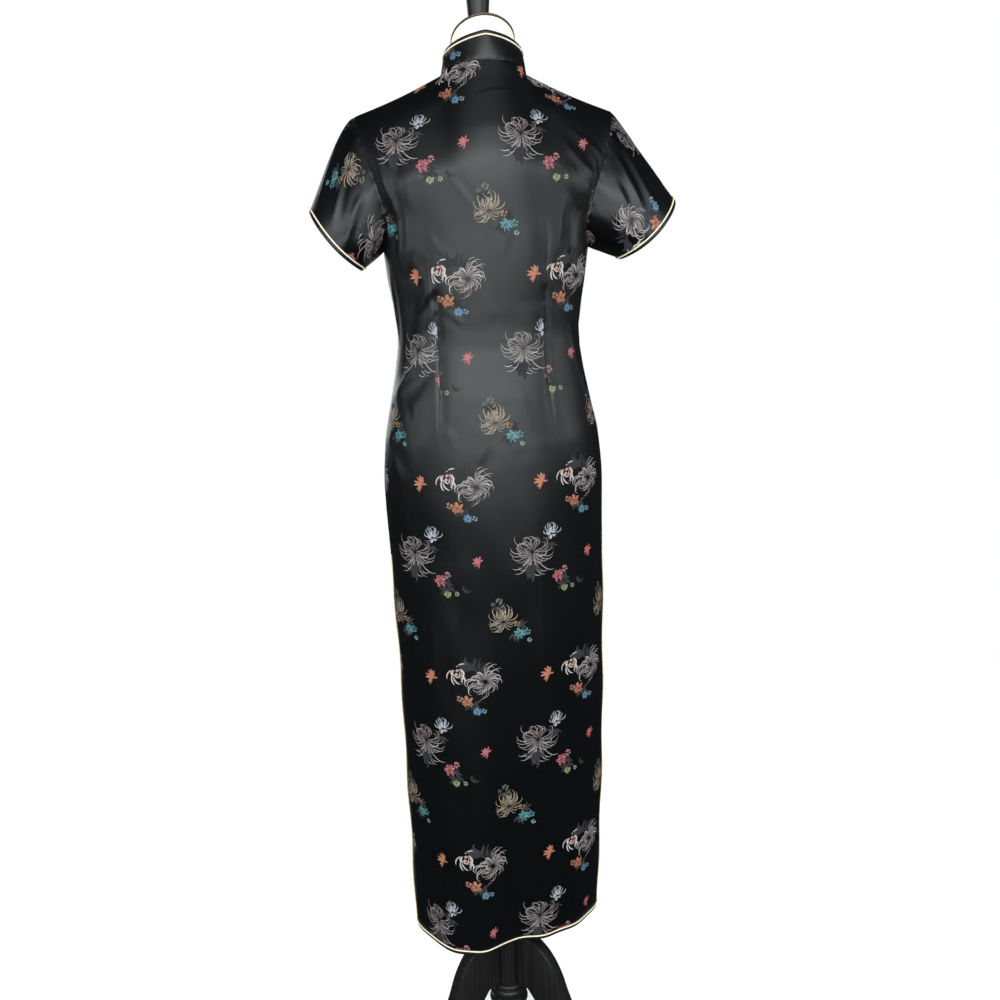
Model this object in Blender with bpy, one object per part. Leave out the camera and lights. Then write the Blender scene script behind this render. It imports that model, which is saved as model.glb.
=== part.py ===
"""Long cheongsam on a limbless dress form with a turned tripod stand.

Metres, +Z up, floor at Z = 0. The wearer's left is +X, the front faces -Y and
the back +Y. Sizes are measured from the post's axis; an empty named
"stand_axis" carries everything and stands where the axis meets the floor.
"""
import math

import bmesh
import bpy
import numpy as np

# ---- where the post stands, so that the origin is under the box's middle
AXIS_X = 0.0141
AXIS_Y = 0.0508

# ---- cloth
WALL = 0.0015
COLLAR_WALL = 0.0020
SEAM = 0.0004
BINDING_WIDTH = 0.0050
BINDING_PROUD = 0.0006
PIPING_RADIUS = 0.0009
EDGE_INSET = SEAM + BINDING_WIDTH

# ---- heights of the dress
HEM_Z = 0.240
SLIT_TOP_Z = 0.900
SLIT_STEP = 0.0010
WAVE_TOP_Z = 0.930
UNDERARM_Z = 1.378
SLIT_GAP_AT_HEM = 0.026

# ---- neck and shoulder
NECK_HALF_WIDTH = 0.0655
NECK_SIDE_Y = -0.008
NECK_SIDE_Z = 1.640
NECK_BACK_Y, NECK_BACK_Z = 0.058, 1.652
NECK_FRONT_Y, NECK_FRONT_Z = -0.078, 1.585
NECK_SLOPE_BACK = (NECK_BACK_Z - NECK_SIDE_Z) / (NECK_BACK_Y - NECK_SIDE_Y)
NECK_SLOPE_FRONT = (NECK_SIDE_Z - NECK_FRONT_Z) / (NECK_SIDE_Y - NECK_FRONT_Y)
SHOULDER_X, SHOULDER_Y, SHOULDER_Z = 0.1985, -0.010, 1.583
SHOULDER_DIP = 0.003

# ---- grid of a body panel: columns in a half, and how many of them end at the neck
HALF_COLUMNS = 11
NECK_COLUMNS = 4
NECK_SHARE = NECK_COLUMNS / HALF_COLUMNS
NECK_TURN = math.radians(22)
SKIRT_ROWS, BODICE_ROWS, YOKE_ROWS = 9, 11, 9

# Level sections of the body: height, half width, depth behind and before the
# axis, and the superellipse power (2 is an ellipse).
SECTION_COLUMNS = ("z", "half_width", "back", "front", "power")
SECTIONS = (
    (0.240, 0.1600, 0.1030, 0.1040, 2.00),
    (0.400, 0.1640, 0.1040, 0.1050, 2.00),
    (0.600, 0.1690, 0.1070, 0.1070, 2.00),
    (0.800, 0.1720, 0.1120, 0.1100, 2.00),
    (0.900, 0.1745, 0.1170, 0.1120, 2.00),
    (1.010, 0.1765, 0.1215, 0.1160, 2.12),
    (1.080, 0.1720, 0.1230, 0.1180, 2.20),
    (1.150, 0.1590, 0.1130, 0.1150, 2.20),
    (1.200, 0.1490, 0.1010, 0.1080, 2.20),
    (1.245, 0.1438, 0.0930, 0.1030, 2.20),
    (1.290, 0.1480, 0.0975, 0.1100, 2.20),
    (1.335, 0.1550, 0.1035, 0.1235, 2.25),
    (1.360, 0.1580, 0.1068, 0.1272, 2.28),
    (1.378, 0.1600, 0.1090, 0.1280, 2.30),
)

# Armhole from the underarm to the shoulder point: share of the height, then
# the half width, and the depth of the back and of the front edge.
ARMHOLE_COLUMNS = ("share", "x", "back_y", "front_y")
ARMHOLE = (
    (0.000, 0.1600, 0.000, 0.000),
    (0.070, 0.1560, 0.022, -0.026),
    (0.165, 0.1545, 0.041, -0.048),
    (0.295, 0.1585, 0.053, -0.062),
    (0.440, 0.1665, 0.056, -0.066),
    (0.560, 0.1745, 0.051, -0.062),
    (0.740, 0.1865, 0.035, -0.046),
    (0.870, 0.1940, 0.017, -0.030),
    (1.000, 0.1985, -0.010, -0.010),
)

# Middle line from the underarm level to the neck: share of the height and depth.
SPINE_COLUMNS = ("share", "back_y", "front_y")
SPINE = (
    (0.00, 0.1090, -0.1280),
    (0.15, 0.1135, -0.1235),
    (0.30, 0.1155, -0.1170),
    (0.45, 0.1130, -0.1095),
    (0.63, 0.1030, -0.0990),
    (0.81, 0.0830, -0.0885),
    (1.00, 0.0580, -0.0780),
)

# How far the dress and form sit aside from the post's axis at each height.
SWAY = (
    (0.240, -0.0030),
    (0.450, -0.0050),
    (0.650, -0.0058),
    (0.850, -0.0040),
    (1.000, -0.0010),
    (1.300, 0.0000),
    (1.450, -0.0020),
    (1.600, -0.0050),
    (1.720, -0.0060),
)

# Soft waves of the skirt, full at the hem: where across, half spread, depth.
BACK_WAVES = (
    (0.101, 0.034, 0.030),
    (0.053, 0.030, 0.024),
    (-0.017, 0.030, -0.012),
    (-0.082, 0.030, -0.012),
    (-0.144, 0.036, -0.022),
)
FRONT_WAVES = (
    (0.090, 0.032, 0.014),
    (0.020, 0.040, -0.012),
    (-0.055, 0.040, 0.020),
    (-0.150, 0.036, 0.012),
)

# Waist darts: distance from the middle, ends, and how deep the crease is.
DART_X, DART_DEPTH, DART_HALF_WIDTH = 0.083, 0.0022, 0.006
DART_LOW_Z, DART_FULL_FROM_Z, DART_FULL_TO_Z, DART_HIGH_Z = 1.060, 1.190, 1.290, 1.372

# Placket of the front, from the neck's middle to the right armhole: across
# (0 middle, 1 edge) and the height it reaches (1 underarm, 2 top edge).
PLACKET_COLUMNS = ("across", "height")
PLACKET = (
    (0.00, 2.00),
    (0.10, 1.91),
    (0.25, 1.79),
    (0.45, 1.65),
    (0.65, 1.50),
    (0.85, 1.30),
    (1.00, 1.117),
)
UNDERLAP_DROP, UNDERLAP_DROP_AT_ARMHOLE = 0.22, 0.05
PLACKET_START = 0.009
# Cloth length of the yoke for each unit of height, near the placket.
PLACKET_LENGTH = 0.170
PLACKET_END_ROW = 2
UNDERLAP_DEPTH = WALL + 0.0034

# ---- sleeves: end of the hem's long diameter outside and under the arm, half
# the depth of the hem, and how far the cap stands out beyond the straight line
SLEEVE_COLUMNS = ("outer_x", "outer_z", "under_x", "under_z", "half_depth", "cap")
SLEEVES = {
    "left": (0.270, 1.442, 0.195, 1.352, 0.062, 0.009),
    "right": (0.300, 1.446, 0.215, 1.358, 0.063, 0.002),
}
SLEEVE_ROWS = 6
SLEEVE_SAG, SLEEVE_FULLNESS = 0.009, 0.006
CAP_SPREAD = math.radians(50)

# ---- collar: height behind, at the side and in front, how far the top leans in
COLLAR_BACK, COLLAR_SIDE, COLLAR_FRONT = 0.0415, 0.0310, 0.0330
COLLAR_LIFT = 0.0014
COLLAR_LEAN = 0.0090
COLLAR_RIDGE, COLLAR_RIDGE_SPREAD = 0.0035, math.radians(13)
COLLAR_OPENING = 0.0011
COLLAR_CORNER = 0.012
COLLAR_SEGMENTS = 28
# Columns near each end, by angle from the bound edge, and where even ones begin.
COLLAR_END_COLUMNS = (0.012, 0.045, 0.100, 0.170)
COLLAR_END_REACH = 0.370

# ---- knot closures on the front: where across and up, turned by, half length
FROG_COLUMNS = ("across", "height", "turn", "half_length")
FROGS = {
    "frog_chest": (-0.40, 1.695, math.radians(52), 0.026),
    "frog_side": (-0.80, 1.365, math.radians(38), 0.026),
}
FROG_CORD, FROG_KNOT = 0.0028, 0.0052
FROG_RINGS, FROG_SIDES = 17, 8
FROG_CORD_FLATNESS, FROG_KNOT_FLATNESS = 0.55, 0.90
FROG_LIFT, FROG_CLEARANCE = 0.0042, 0.0012
COLLAR_FROG_SHARE, COLLAR_FROG_HALF_LENGTH, COLLAR_FROG_LIFT = 0.42, 0.017, 0.0024

# ---- dress form
FORM_BASE_Z = 0.940
FORM_CLEARANCE = 0.0030
FORM_TOUCHES_FROM = 1.80
FORM_EASE_TABLE = ((0.940, 0.0085), (1.050, 0.0080), (1.245, 0.0070), (1.378, 0.0070))
NECK_EASE = 0.009
ARM_PLATE_INSET = 0.004
RIM_Z, RIM_SLOPE = 1.6855, 0.69
RIM_Y, RIM_HALF_WIDTH, RIM_HALF_DEPTH = -0.0050, 0.0480, 0.0450
# Rings of the neck above the shoulders: height, slope to the back, half width, half depth.
NECK_RINGS = (
    (1.664, 0.36, 0.0515, 0.0490),
    (RIM_Z, RIM_SLOPE, RIM_HALF_WIDTH, RIM_HALF_DEPTH),
)
CAP_PLATE = 0.0035
CAP_OVERHANG = 0.0010
CAP_SIDES, FINIAL_SIDES = 32, 24
# Finial on the axis: height above the plate and radius.
FINIAL = (
    (0.0000, 0.0148),
    (0.0150, 0.0150),
    (0.0300, 0.0158),
    (0.0450, 0.0168),
    (0.0600, 0.0180),
    (0.0700, 0.0185),
    (0.0790, 0.0172),
    (0.0855, 0.0130),
    (0.0892, 0.0070),
)
FINIAL_LEVEL_FROM = 0.030
FINIAL_TOP_Z = 1.784

# ---- stand
STAND_TURN = math.radians(-5)
POST_RADIUS = 0.0230
POST_TOP_Z = FORM_BASE_Z - 0.0004
FLANGE_RADIUS, FLANGE_THICK = 0.0450, 0.012
# Turned profile of the post: height and radius, from the drop upwards.
POST_PROFILE = (
    (0.034, 0.0060),
    (0.036, 0.0125),
    (0.044, 0.0190),
    (0.054, 0.0215),
    (0.062, 0.0195),
    (0.067, 0.0240),
    (0.072, 0.0315),
    (0.079, 0.0335),
    (0.086, 0.0318),
    (0.088, 0.0288),
    (0.091, 0.0312),
    (0.096, 0.0322),
    (0.101, 0.0305),
    (0.103, 0.0275),
    (0.106, 0.0290),
    (0.110, 0.0280),
    (0.113, POST_RADIUS),
)
POST_SIDES = 24

LEG_ANGLES = (60, 180, 300)
LEG_HALF_THICK = 0.0125
LEG_FOOT_R = 0.262
# Leg outline seen from the side: distance from the axis and height.
LEG_TOP_EDGE = (
    (0.030, 0.213),
    (0.055, 0.203),
    (0.080, 0.182),
    (0.100, 0.150),
    (0.115, 0.110),
    (0.130, 0.078),
    (0.160, 0.053),
    (0.205, 0.037),
    (0.245, 0.027),
)
LEG_UNDER_EDGE = (
    (0.210, 0.011),
    (0.165, 0.016),
    (0.120, 0.028),
    (0.090, 0.048),
    (0.070, 0.075),
    (0.045, 0.110),
)
LEG_ROOT_LOW, LEG_ROOT_HIGH = 0.1180, 0.2180
# Rounded toe and the flat that stands on the floor.
LEG_TOE = (
    (LEG_FOOT_R - 0.003, 0.0205),
    (LEG_FOOT_R, 0.0130),
    (LEG_FOOT_R, 0.0),
    (0.2120, 0.0),
)
LEG_TOP_POINTS, LEG_UNDER_POINTS = 13, 8


# ------------------------------------------------------------------ small tools
def column(table, names, name):
    """One named column of a table as an array."""
    return np.array([row[names.index(name)] for row in table])


def smooth_curve(xs, ys, at):
    """Value at `at` of the smooth curve through (xs, ys), without overshoot."""
    xs, ys, at = np.asarray(xs, float), np.asarray(ys, float), np.asarray(at, float)
    step = np.diff(xs)
    rise = np.diff(ys) / step
    slope = np.empty_like(ys)
    slope[0], slope[-1] = rise[0], rise[-1]
    left, right = rise[:-1], rise[1:]
    same = left * right > 0
    safe = np.where(same, left + right, 1.0)
    slope[1:-1] = np.where(same, 2 * left * right / safe, 0.0)
    i = np.clip(np.searchsorted(xs, at, side="right") - 1, 0, len(xs) - 2)
    t = np.clip((at - xs[i]) / step[i], 0.0, 1.0)
    a, b = 2 * t**3 - 3 * t**2 + 1, t**3 - 2 * t**2 + t
    return a * ys[i] + b * step[i] * slope[i] + (1 - a) * ys[i + 1] + (t**3 - t**2) * step[i] * slope[i + 1]


def section(name, z):
    """A named size of the body's level section at height z."""
    return smooth_curve(column(SECTIONS, SECTION_COLUMNS, "z"), column(SECTIONS, SECTION_COLUMNS, name), z)


def sway(z):
    """How far the middle of the dress and form is off the post's axis at height z."""
    return smooth_curve(*np.array(SWAY).T, z)


def ramp(value, low, high):
    """0 below low, 1 above high, smooth between."""
    t = np.clip((value - low) / (high - low), 0.0, 1.0)
    return t * t * (3 - 2 * t)


def unit(vectors):
    """The vectors at length 1."""
    return vectors / np.maximum(np.linalg.norm(vectors, axis=-1, keepdims=True), 1e-12)


# ------------------------------------------------------------- the body's cloth
def neck_line(turn):
    """Neckline at an angle from the middle of the back (0) round to the front (pi)."""
    behind = np.cos(turn) > 0
    y = NECK_SIDE_Y + np.cos(turn) * np.where(behind, NECK_BACK_Y - NECK_SIDE_Y, NECK_SIDE_Y - NECK_FRONT_Y)
    z = NECK_SIDE_Z + np.cos(turn) * np.where(behind, NECK_BACK_Z - NECK_SIDE_Z, NECK_SIDE_Z - NECK_FRONT_Z)
    return np.stack([NECK_HALF_WIDTH * np.sin(turn), y, z], axis=-1)


def top_edge(side, across):
    """Neckline and then the shoulder seam, for `across` from 0 (middle) to 1."""
    turn = np.clip(across / NECK_SHARE, 0, 1) * math.pi / 2
    neck = neck_line(turn if side == "back" else math.pi - turn)
    along = np.clip((across - NECK_SHARE) / (1 - NECK_SHARE), 0, 1)[..., None]
    start = np.array([NECK_HALF_WIDTH, NECK_SIDE_Y, NECK_SIDE_Z])
    end = np.array([SHOULDER_X, SHOULDER_Y, SHOULDER_Z])
    seam = start + (end - start) * along - np.array([0, 0, SHOULDER_DIP]) * np.sin(math.pi * along)
    return np.where((across > NECK_SHARE)[..., None], seam, neck)


def turn_at(across):
    """Angle round the section for `across` from 0 to 1."""
    inner = np.minimum(across, NECK_SHARE) / NECK_SHARE * NECK_TURN
    return inner + np.maximum(across - NECK_SHARE, 0) / (1 - NECK_SHARE) * (math.pi / 2 - NECK_TURN)


def cloth(side, u, v):
    """Outer face of the back or front.

    u runs from -1 (right edge) to 1 (left edge). v runs from 0 (hem) through 1
    (underarm level) to 2 (neckline and shoulder seam).
    """
    u, v = np.broadcast_arrays(np.asarray(u, float), np.asarray(v, float))
    hand = np.where(u < 0, -1.0, 1.0)
    across = np.abs(u)
    facing = 1.0 if side == "back" else -1.0
    z = HEM_Z + np.clip(v, 0, 1) * (UNDERARM_Z - HEM_Z)
    depth = section(side, z)
    open_by = SLIT_GAP_AT_HEM * ramp(SLIT_TOP_Z - z, 0, SLIT_TOP_Z - HEM_Z) * (side == "front")
    turn = turn_at(across) * (1 - open_by / depth / (math.pi / 2))
    power = 2 / section("power", z)
    share_x, share_y = np.sin(turn) ** power, np.maximum(np.cos(turn), 0) ** power
    low = np.stack([hand * section("half_width", z) * share_x, facing * depth * share_y, z], axis=-1)
    fall = np.clip((WAVE_TOP_Z - z) / (WAVE_TOP_Z - HEM_Z), 0, 1) ** 1.5
    for middle, spread, out in BACK_WAVES if side == "back" else FRONT_WAVES:
        low[..., 1] += facing * out * fall * np.exp(-(((low[..., 0] - middle) / spread) ** 2))
    sink = DART_DEPTH * ramp(z, DART_LOW_Z, DART_FULL_FROM_Z) * (1 - ramp(z, DART_FULL_TO_Z, DART_HIGH_Z))
    low[..., 1] -= facing * sink * np.exp(-(((np.abs(low[..., 0]) - DART_X) / DART_HALF_WIDTH) ** 2))
    # Above the underarm each row spans from the middle line to the armhole.
    f = np.clip(v - 1, 0, 1)
    edge = top_edge(side, across)
    shares = column(ARMHOLE, ARMHOLE_COLUMNS, "share")
    arm_x = smooth_curve(shares, column(ARMHOLE, ARMHOLE_COLUMNS, "x"), f)
    arm_y = smooth_curve(shares, column(ARMHOLE, ARMHOLE_COLUMNS, side + "_y"), f)
    spine = smooth_curve(
        column(SPINE, SPINE_COLUMNS, "share"), column(SPINE, SPINE_COLUMNS, side + "_y"), f
    )
    roundness = 1.0 - 0.47 * ramp(across, 0.1 * NECK_SHARE, 2.0 * NECK_SHARE)
    keep = (1 - f**2.2) ** roundness
    top_share_x = edge[..., 0] / SHOULDER_X
    neck_y = NECK_BACK_Y if side == "back" else NECK_FRONT_Y
    top_share_y = (edge[..., 1] - SHOULDER_Y) / (neck_y - SHOULDER_Y)
    straight_x = ARMHOLE[0][1] + (SHOULDER_X - ARMHOLE[0][1]) * f
    width = straight_x + (arm_x - straight_x) * share_x**5
    row_x = (share_x * (1 - f) + top_share_x * f) * width
    middle = share_y * keep + top_share_y * (1 - keep)
    row_y = spine * middle + arm_y * (1 - middle) ** (3 - 2 * ramp(f, 0, 0.45))
    row_z = UNDERARM_Z + (edge[..., 2] - UNDERARM_Z) * f
    high = np.stack([hand * row_x, row_y, row_z], axis=-1)
    points = np.where((v > 1)[..., None], high, low)
    points[..., 0] += sway(points[..., 2])
    return points


def cloth_normal(side, u, v):
    """Outward unit normal of that face, by differences."""
    step_u, step_v = 2e-3, 2e-3
    low_u, high_u = np.clip(u - step_u, -1, 1), np.clip(u + step_u, -1, 1)
    low_v, high_v = np.clip(v - step_v, 0, 2), np.clip(v + step_v, 0, 2)
    across = cloth(side, high_u, v) - cloth(side, low_u, v)
    up = cloth(side, u, high_v) - cloth(side, u, low_v)
    normal = unit(np.cross(across, up))
    return -normal if side == "back" else normal


def seam_normal(u, v):
    """Normal shared by back and front along an edge that both reach."""
    return unit(cloth_normal("back", u, v) + cloth_normal("front", u, v))


# ------------------------------------------------------------------ mesh making
MATERIALS = {
    "satin": ((0.010, 0.011, 0.013), 0.30, 0.0),
    "binding_satin": ((0.008, 0.008, 0.009), 0.35, 0.0),
    "cream_piping": ((0.78, 0.70, 0.56), 0.45, 0.0),
    "form_jersey": ((0.82, 0.75, 0.66), 0.85, 0.0),
    "cap_wood": ((0.10, 0.055, 0.025), 0.45, 0.0),
    "black_wood": ((0.012, 0.011, 0.011), 0.35, 0.0),
}


def material(name):
    """The named finish, made once."""
    found = bpy.data.materials.get(name)
    if found:
        return found
    color, roughness, metallic = MATERIALS[name]
    made = bpy.data.materials.new(name)
    made.use_nodes = True
    shader = made.node_tree.nodes["Principled BSDF"]
    shader.inputs["Base Color"].default_value = (*color, 1)
    shader.inputs["Roughness"].default_value = roughness
    shader.inputs["Metallic"].default_value = metallic
    return made


def add_object(name, points, faces, finish, smooth=True):
    """One named mesh object on the stand's axis."""
    mesh = bpy.data.meshes.new(name)
    mesh.from_pydata([tuple(p) for p in points], [], faces)
    mesh.polygons.foreach_set("use_smooth", [smooth] * len(mesh.polygons))
    mesh.materials.append(material(finish))
    mesh.update()
    made = bpy.data.objects.new(name, mesh)
    bpy.context.scene.collection.objects.link(made)
    made.parent = bpy.data.objects["stand_axis"]
    return made


def grid_faces(rows, columns, start=0, wrap=False):
    """Quads of a grid stored row by row; `wrap` joins the last column to the first."""
    faces = []
    for i in range(rows - 1):
        for j in range(columns if wrap else columns - 1):
            k = (j + 1) % columns
            faces.append((start + i * columns + j, start + i * columns + k,
                          start + (i + 1) * columns + k, start + (i + 1) * columns + j))
    return faces


def flipped(faces):
    """The same faces turned over."""
    return [tuple(reversed(face)) for face in faces]


def cloth_wall(name, outer, inward, finish, wrap=False, turned=False):
    """Closed wall between a grid of outer points and the grid moved by `inward`."""
    rows, columns = outer.shape[:2]
    count = rows * columns
    points = np.concatenate([outer.reshape(-1, 3), (outer + inward).reshape(-1, 3)])
    faces = grid_faces(rows, columns, 0, wrap) + flipped(grid_faces(rows, columns, count, wrap))
    low = list(range(columns))
    high = [(rows - 1) * columns + j for j in range(columns)]
    for j in range(columns if wrap else columns - 1):
        k = (j + 1) % columns
        faces.append((low[k], low[j], low[j] + count, low[k] + count))
        faces.append((high[j], high[k], high[k] + count, high[j] + count))
    if not wrap:
        for i in range(rows - 1):
            a, b = i * columns, (i + 1) * columns
            faces.append((a, b, b + count, a + count))
            a, b = a + columns - 1, b + columns - 1
            faces.append((b, a, a + count, b + count))
    return add_object(name, points, flipped(faces) if turned else faces, finish)


def edge_strip(name, edge, normals, profile, finish, closed=False):
    """Sweeps a profile of (away from the panel, outwards) along a panel's edge.

    The edge runs so that `along x normal` points away from the panel. Corners
    are mitred.
    """
    after = np.roll(edge, -1, axis=0) - edge
    before = edge - np.roll(edge, 1, axis=0)
    if not closed:
        after[-1], before[0] = before[-1], after[0]
    side_a = unit(np.cross(unit(before), normals))
    side_b = unit(np.cross(unit(after), normals))
    away = (side_a + side_b) / np.maximum(1 + (side_a * side_b).sum(-1, keepdims=True), 0.35)
    rings = np.stack([edge + away * b + normals * n for b, n in profile], axis=1)
    count, sides = rings.shape[:2]
    points = rings.reshape(-1, 3)
    faces = grid_faces(count, sides, 0, True)
    if closed:
        last = (count - 1) * sides
        faces += [(last + j, last + (j + 1) % sides, (j + 1) % sides, j) for j in range(sides)]
    else:
        faces.append(tuple(reversed(range(sides))))
        faces.append(tuple((count - 1) * sides + j for j in range(sides)))
    return add_object(name, points, faces, finish)


def binding_profile(wall):
    """Folded strip that covers the raw edge, clockwise seen along the edge."""
    inside, outside = SEAM, SEAM + BINDING_WIDTH
    under, over = -wall - 0.0003, BINDING_PROUD
    return ((inside, under), (inside, over), (outside, over), (outside, under))


def piping_profile():
    """Thin corded strip lying on the panel against the binding."""
    middle_b = -PIPING_RADIUS - 0.0003
    middle_n = SEAM + PIPING_RADIUS
    turns = [math.pi / 2 * i for i in range(4)]
    return tuple(
        (middle_b - PIPING_RADIUS * math.cos(a), middle_n + PIPING_RADIUS * math.sin(a)) for a in turns
    )


def trim_edge(name, edge, normals, wall, closed=False):
    """Binding and piping along one finished edge."""
    edge_strip(name + "_binding", edge, normals, binding_profile(wall), "binding_satin", closed)
    edge_strip(name + "_piping", edge, normals, piping_profile(), "cream_piping", closed)


# ----------------------------------------------------------------- body panels
def skirt_share(z):
    """v of a height below the underarm."""
    return (z - HEM_Z) / (UNDERARM_Z - HEM_Z)


def yoke_rows():
    """v of the rows from the underarm level to the top edge, closer at both ends."""
    steps = np.arange(YOKE_ROWS + 1) / YOKE_ROWS
    return 1 + (1 - np.cos(math.pi * steps)) / 2


def panel_rows():
    """v of each row: bound skirt, the step at the slit's top, bodice and yoke."""
    skirt = np.linspace(skirt_share(HEM_Z + EDGE_INSET), skirt_share(SLIT_TOP_Z - SLIT_STEP), SKIRT_ROWS + 1)
    bodice = np.linspace(skirt_share(SLIT_TOP_Z), 1.0, BODICE_ROWS + 1)
    return np.concatenate([skirt, bodice, yoke_rows()[1:]])


def side_reach(side, rows):
    """How near u comes to 1 in each row, leaving room for the binding or the seam."""
    z = HEM_Z + np.clip(rows, 0, 1) * (UNDERARM_Z - HEM_Z)
    per_u = section(side, z) * (math.pi / 2 - NECK_TURN) / (1 - NECK_SHARE)
    inset = np.where(rows < skirt_share(SLIT_TOP_Z) - 1e-6, EDGE_INSET, 0.0)
    return 1 - inset / per_u


def part_seam(points, u, v, side):
    """Moves the edges that meet another panel back by half the seam's gap."""
    facing = 1.0 if side == "back" else -1.0
    points[..., 1] += facing * SEAM / 2
    at_armhole = (np.abs(u) > 1 - 1e-9) & (v > 1)
    pull = np.where(at_armhole, SEAM / 2, 0.0)
    points[..., 0] -= np.sign(u) * pull
    return points


def panel_grid(side, u, v):
    """Outer points and inward offsets of a panel over grids of u and v."""
    outer = part_seam(cloth(side, u, v), u, v, side)
    normals = cloth_normal(side, u, v)
    shared = (np.abs(u) > 1 - 1e-9) & (v >= 1) | (v > 2 - 1e-9) & (np.abs(u) > NECK_SHARE - 1e-9)
    normals = np.where(shared[..., None], seam_normal(u, v), normals)
    return outer, normals


def body_columns():
    """u of every column of a full panel."""
    return np.arange(-HALF_COLUMNS, HALF_COLUMNS + 1) / HALF_COLUMNS


def slit_and_hem_edge(outer, normals, side):
    """Edge points from the top of one slit, round the hem, to the top of the other."""
    last = SKIRT_ROWS
    down = outer[last:0:-1, 0], normals[last:0:-1, 0]
    hem = outer[0], normals[0]
    up = outer[1:last + 1, -1], normals[1:last + 1, -1]
    edge = np.concatenate([down[0], hem[0], up[0]])
    normal = np.concatenate([down[1], hem[1], up[1]])
    if side == "front":
        return edge, normal
    return edge[::-1], normal[::-1]


def build_back():
    """The back, cut in one with a waist dart on each side, and its bound edges."""
    rows = panel_rows()
    reach = side_reach("back", rows)
    u = body_columns()[None, :] * reach[:, None]
    v = np.repeat(rows[:, None], u.shape[1], axis=1)
    outer, normals = panel_grid("back", u, v)
    cloth_wall("back_panel", outer, -normals * WALL, "satin", turned=True)
    edge, normal = slit_and_hem_edge(outer, normals, "back")
    trim_edge("back_slit_hem", edge, normal, WALL)


def placket_height(across):
    """v of the placket's edge on the wearer's right, by distance from the middle."""
    return smooth_curve(
        column(PLACKET, PLACKET_COLUMNS, "across"), column(PLACKET, PLACKET_COLUMNS, "height"), across
    )


def build_front():
    """The front, whose right side ends at the slanted placket."""
    rows = panel_rows()
    reach = side_reach("front", rows)
    u = body_columns()[None, :] * reach[:, None]
    v = np.repeat(rows[:, None], u.shape[1], axis=1)
    right = u < -1e-9
    limit = placket_height(np.abs(u))
    stops = np.where(right, limit - 1, 1.0)
    v = np.where(v > 1, 1 + (v - 1) * stops, v)
    # The placket's own binding takes its width off the edge.
    near_edge = np.clip((rows[:, None] - 1), 0, 1) ** 2 * np.ones_like(u)
    v = np.where(right & (v > 1), v - EDGE_INSET / PLACKET_LENGTH * near_edge, v)
    outer, normals = panel_grid("front", u, v)
    cloth_wall("front_panel", outer, -normals * WALL, "satin")
    edge, normal = slit_and_hem_edge(outer, normals, "front")
    trim_edge("front_slit_hem", edge, normal, WALL)
    edge, normal = outer[-1, HALF_COLUMNS::-1].copy(), normals[-1, HALF_COLUMNS::-1]
    first = edge[1] - edge[0]
    edge[0] += first * PLACKET_START / np.linalg.norm(first)
    trim_edge("placket", edge, normal, WALL)


def build_underlap():
    """The small right front piece that shows above the placket and passes under it."""
    u = -np.arange(HALF_COLUMNS, -1, -1) / HALF_COLUMNS
    drop = UNDERLAP_DROP_AT_ARMHOLE + (UNDERLAP_DROP - UNDERLAP_DROP_AT_ARMHOLE) * (1 - np.abs(u)) ** 0.5
    low = placket_height(np.abs(u)) - drop
    at_armhole = np.concatenate([low[:1], yoke_rows()[PLACKET_END_ROW:]])
    rise = (at_armhole - low[0]) / (2 - low[0])
    v = np.minimum(low[None, :] + (2 - low[None, :]) * rise[:, None], 2.0)
    u = np.repeat(u[None, :], len(rise), axis=0)
    outer, normals = panel_grid("front", u, v)
    covered = 1 - ramp(v - placket_height(np.abs(u)), 0.06, 0.17)
    middle = 1 - ramp(np.abs(u), NECK_SHARE * 0.4, NECK_SHARE * 1.2)
    outer = outer - normals * UNDERLAP_DEPTH * np.maximum(covered, middle)[..., None]
    cloth_wall("front_underlap", outer, -normals * WALL, "satin")


# --------------------------------------------------------------------- sleeves
def armhole_loop(hand):
    """Armhole from the shoulder point down the back and up the front, with normals."""
    v = yoke_rows()
    u = np.full_like(v, hand)
    back = cloth("back", u, v)[::-1]
    front = cloth("front", u, v)[1:-1]
    normals = seam_normal(u, v)
    back_normal = cloth_normal("back", u, v)
    front_normal = cloth_normal("front", u, v)
    ends = (v < 1 + 1e-9) | (v > 2 - 1e-9)
    back_normal = np.where(ends[:, None], normals, back_normal)[::-1]
    front_normal = np.where(ends[:, None], normals, front_normal)[1:-1]
    return np.concatenate([back, front]), np.concatenate([back_normal, front_normal])


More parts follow.
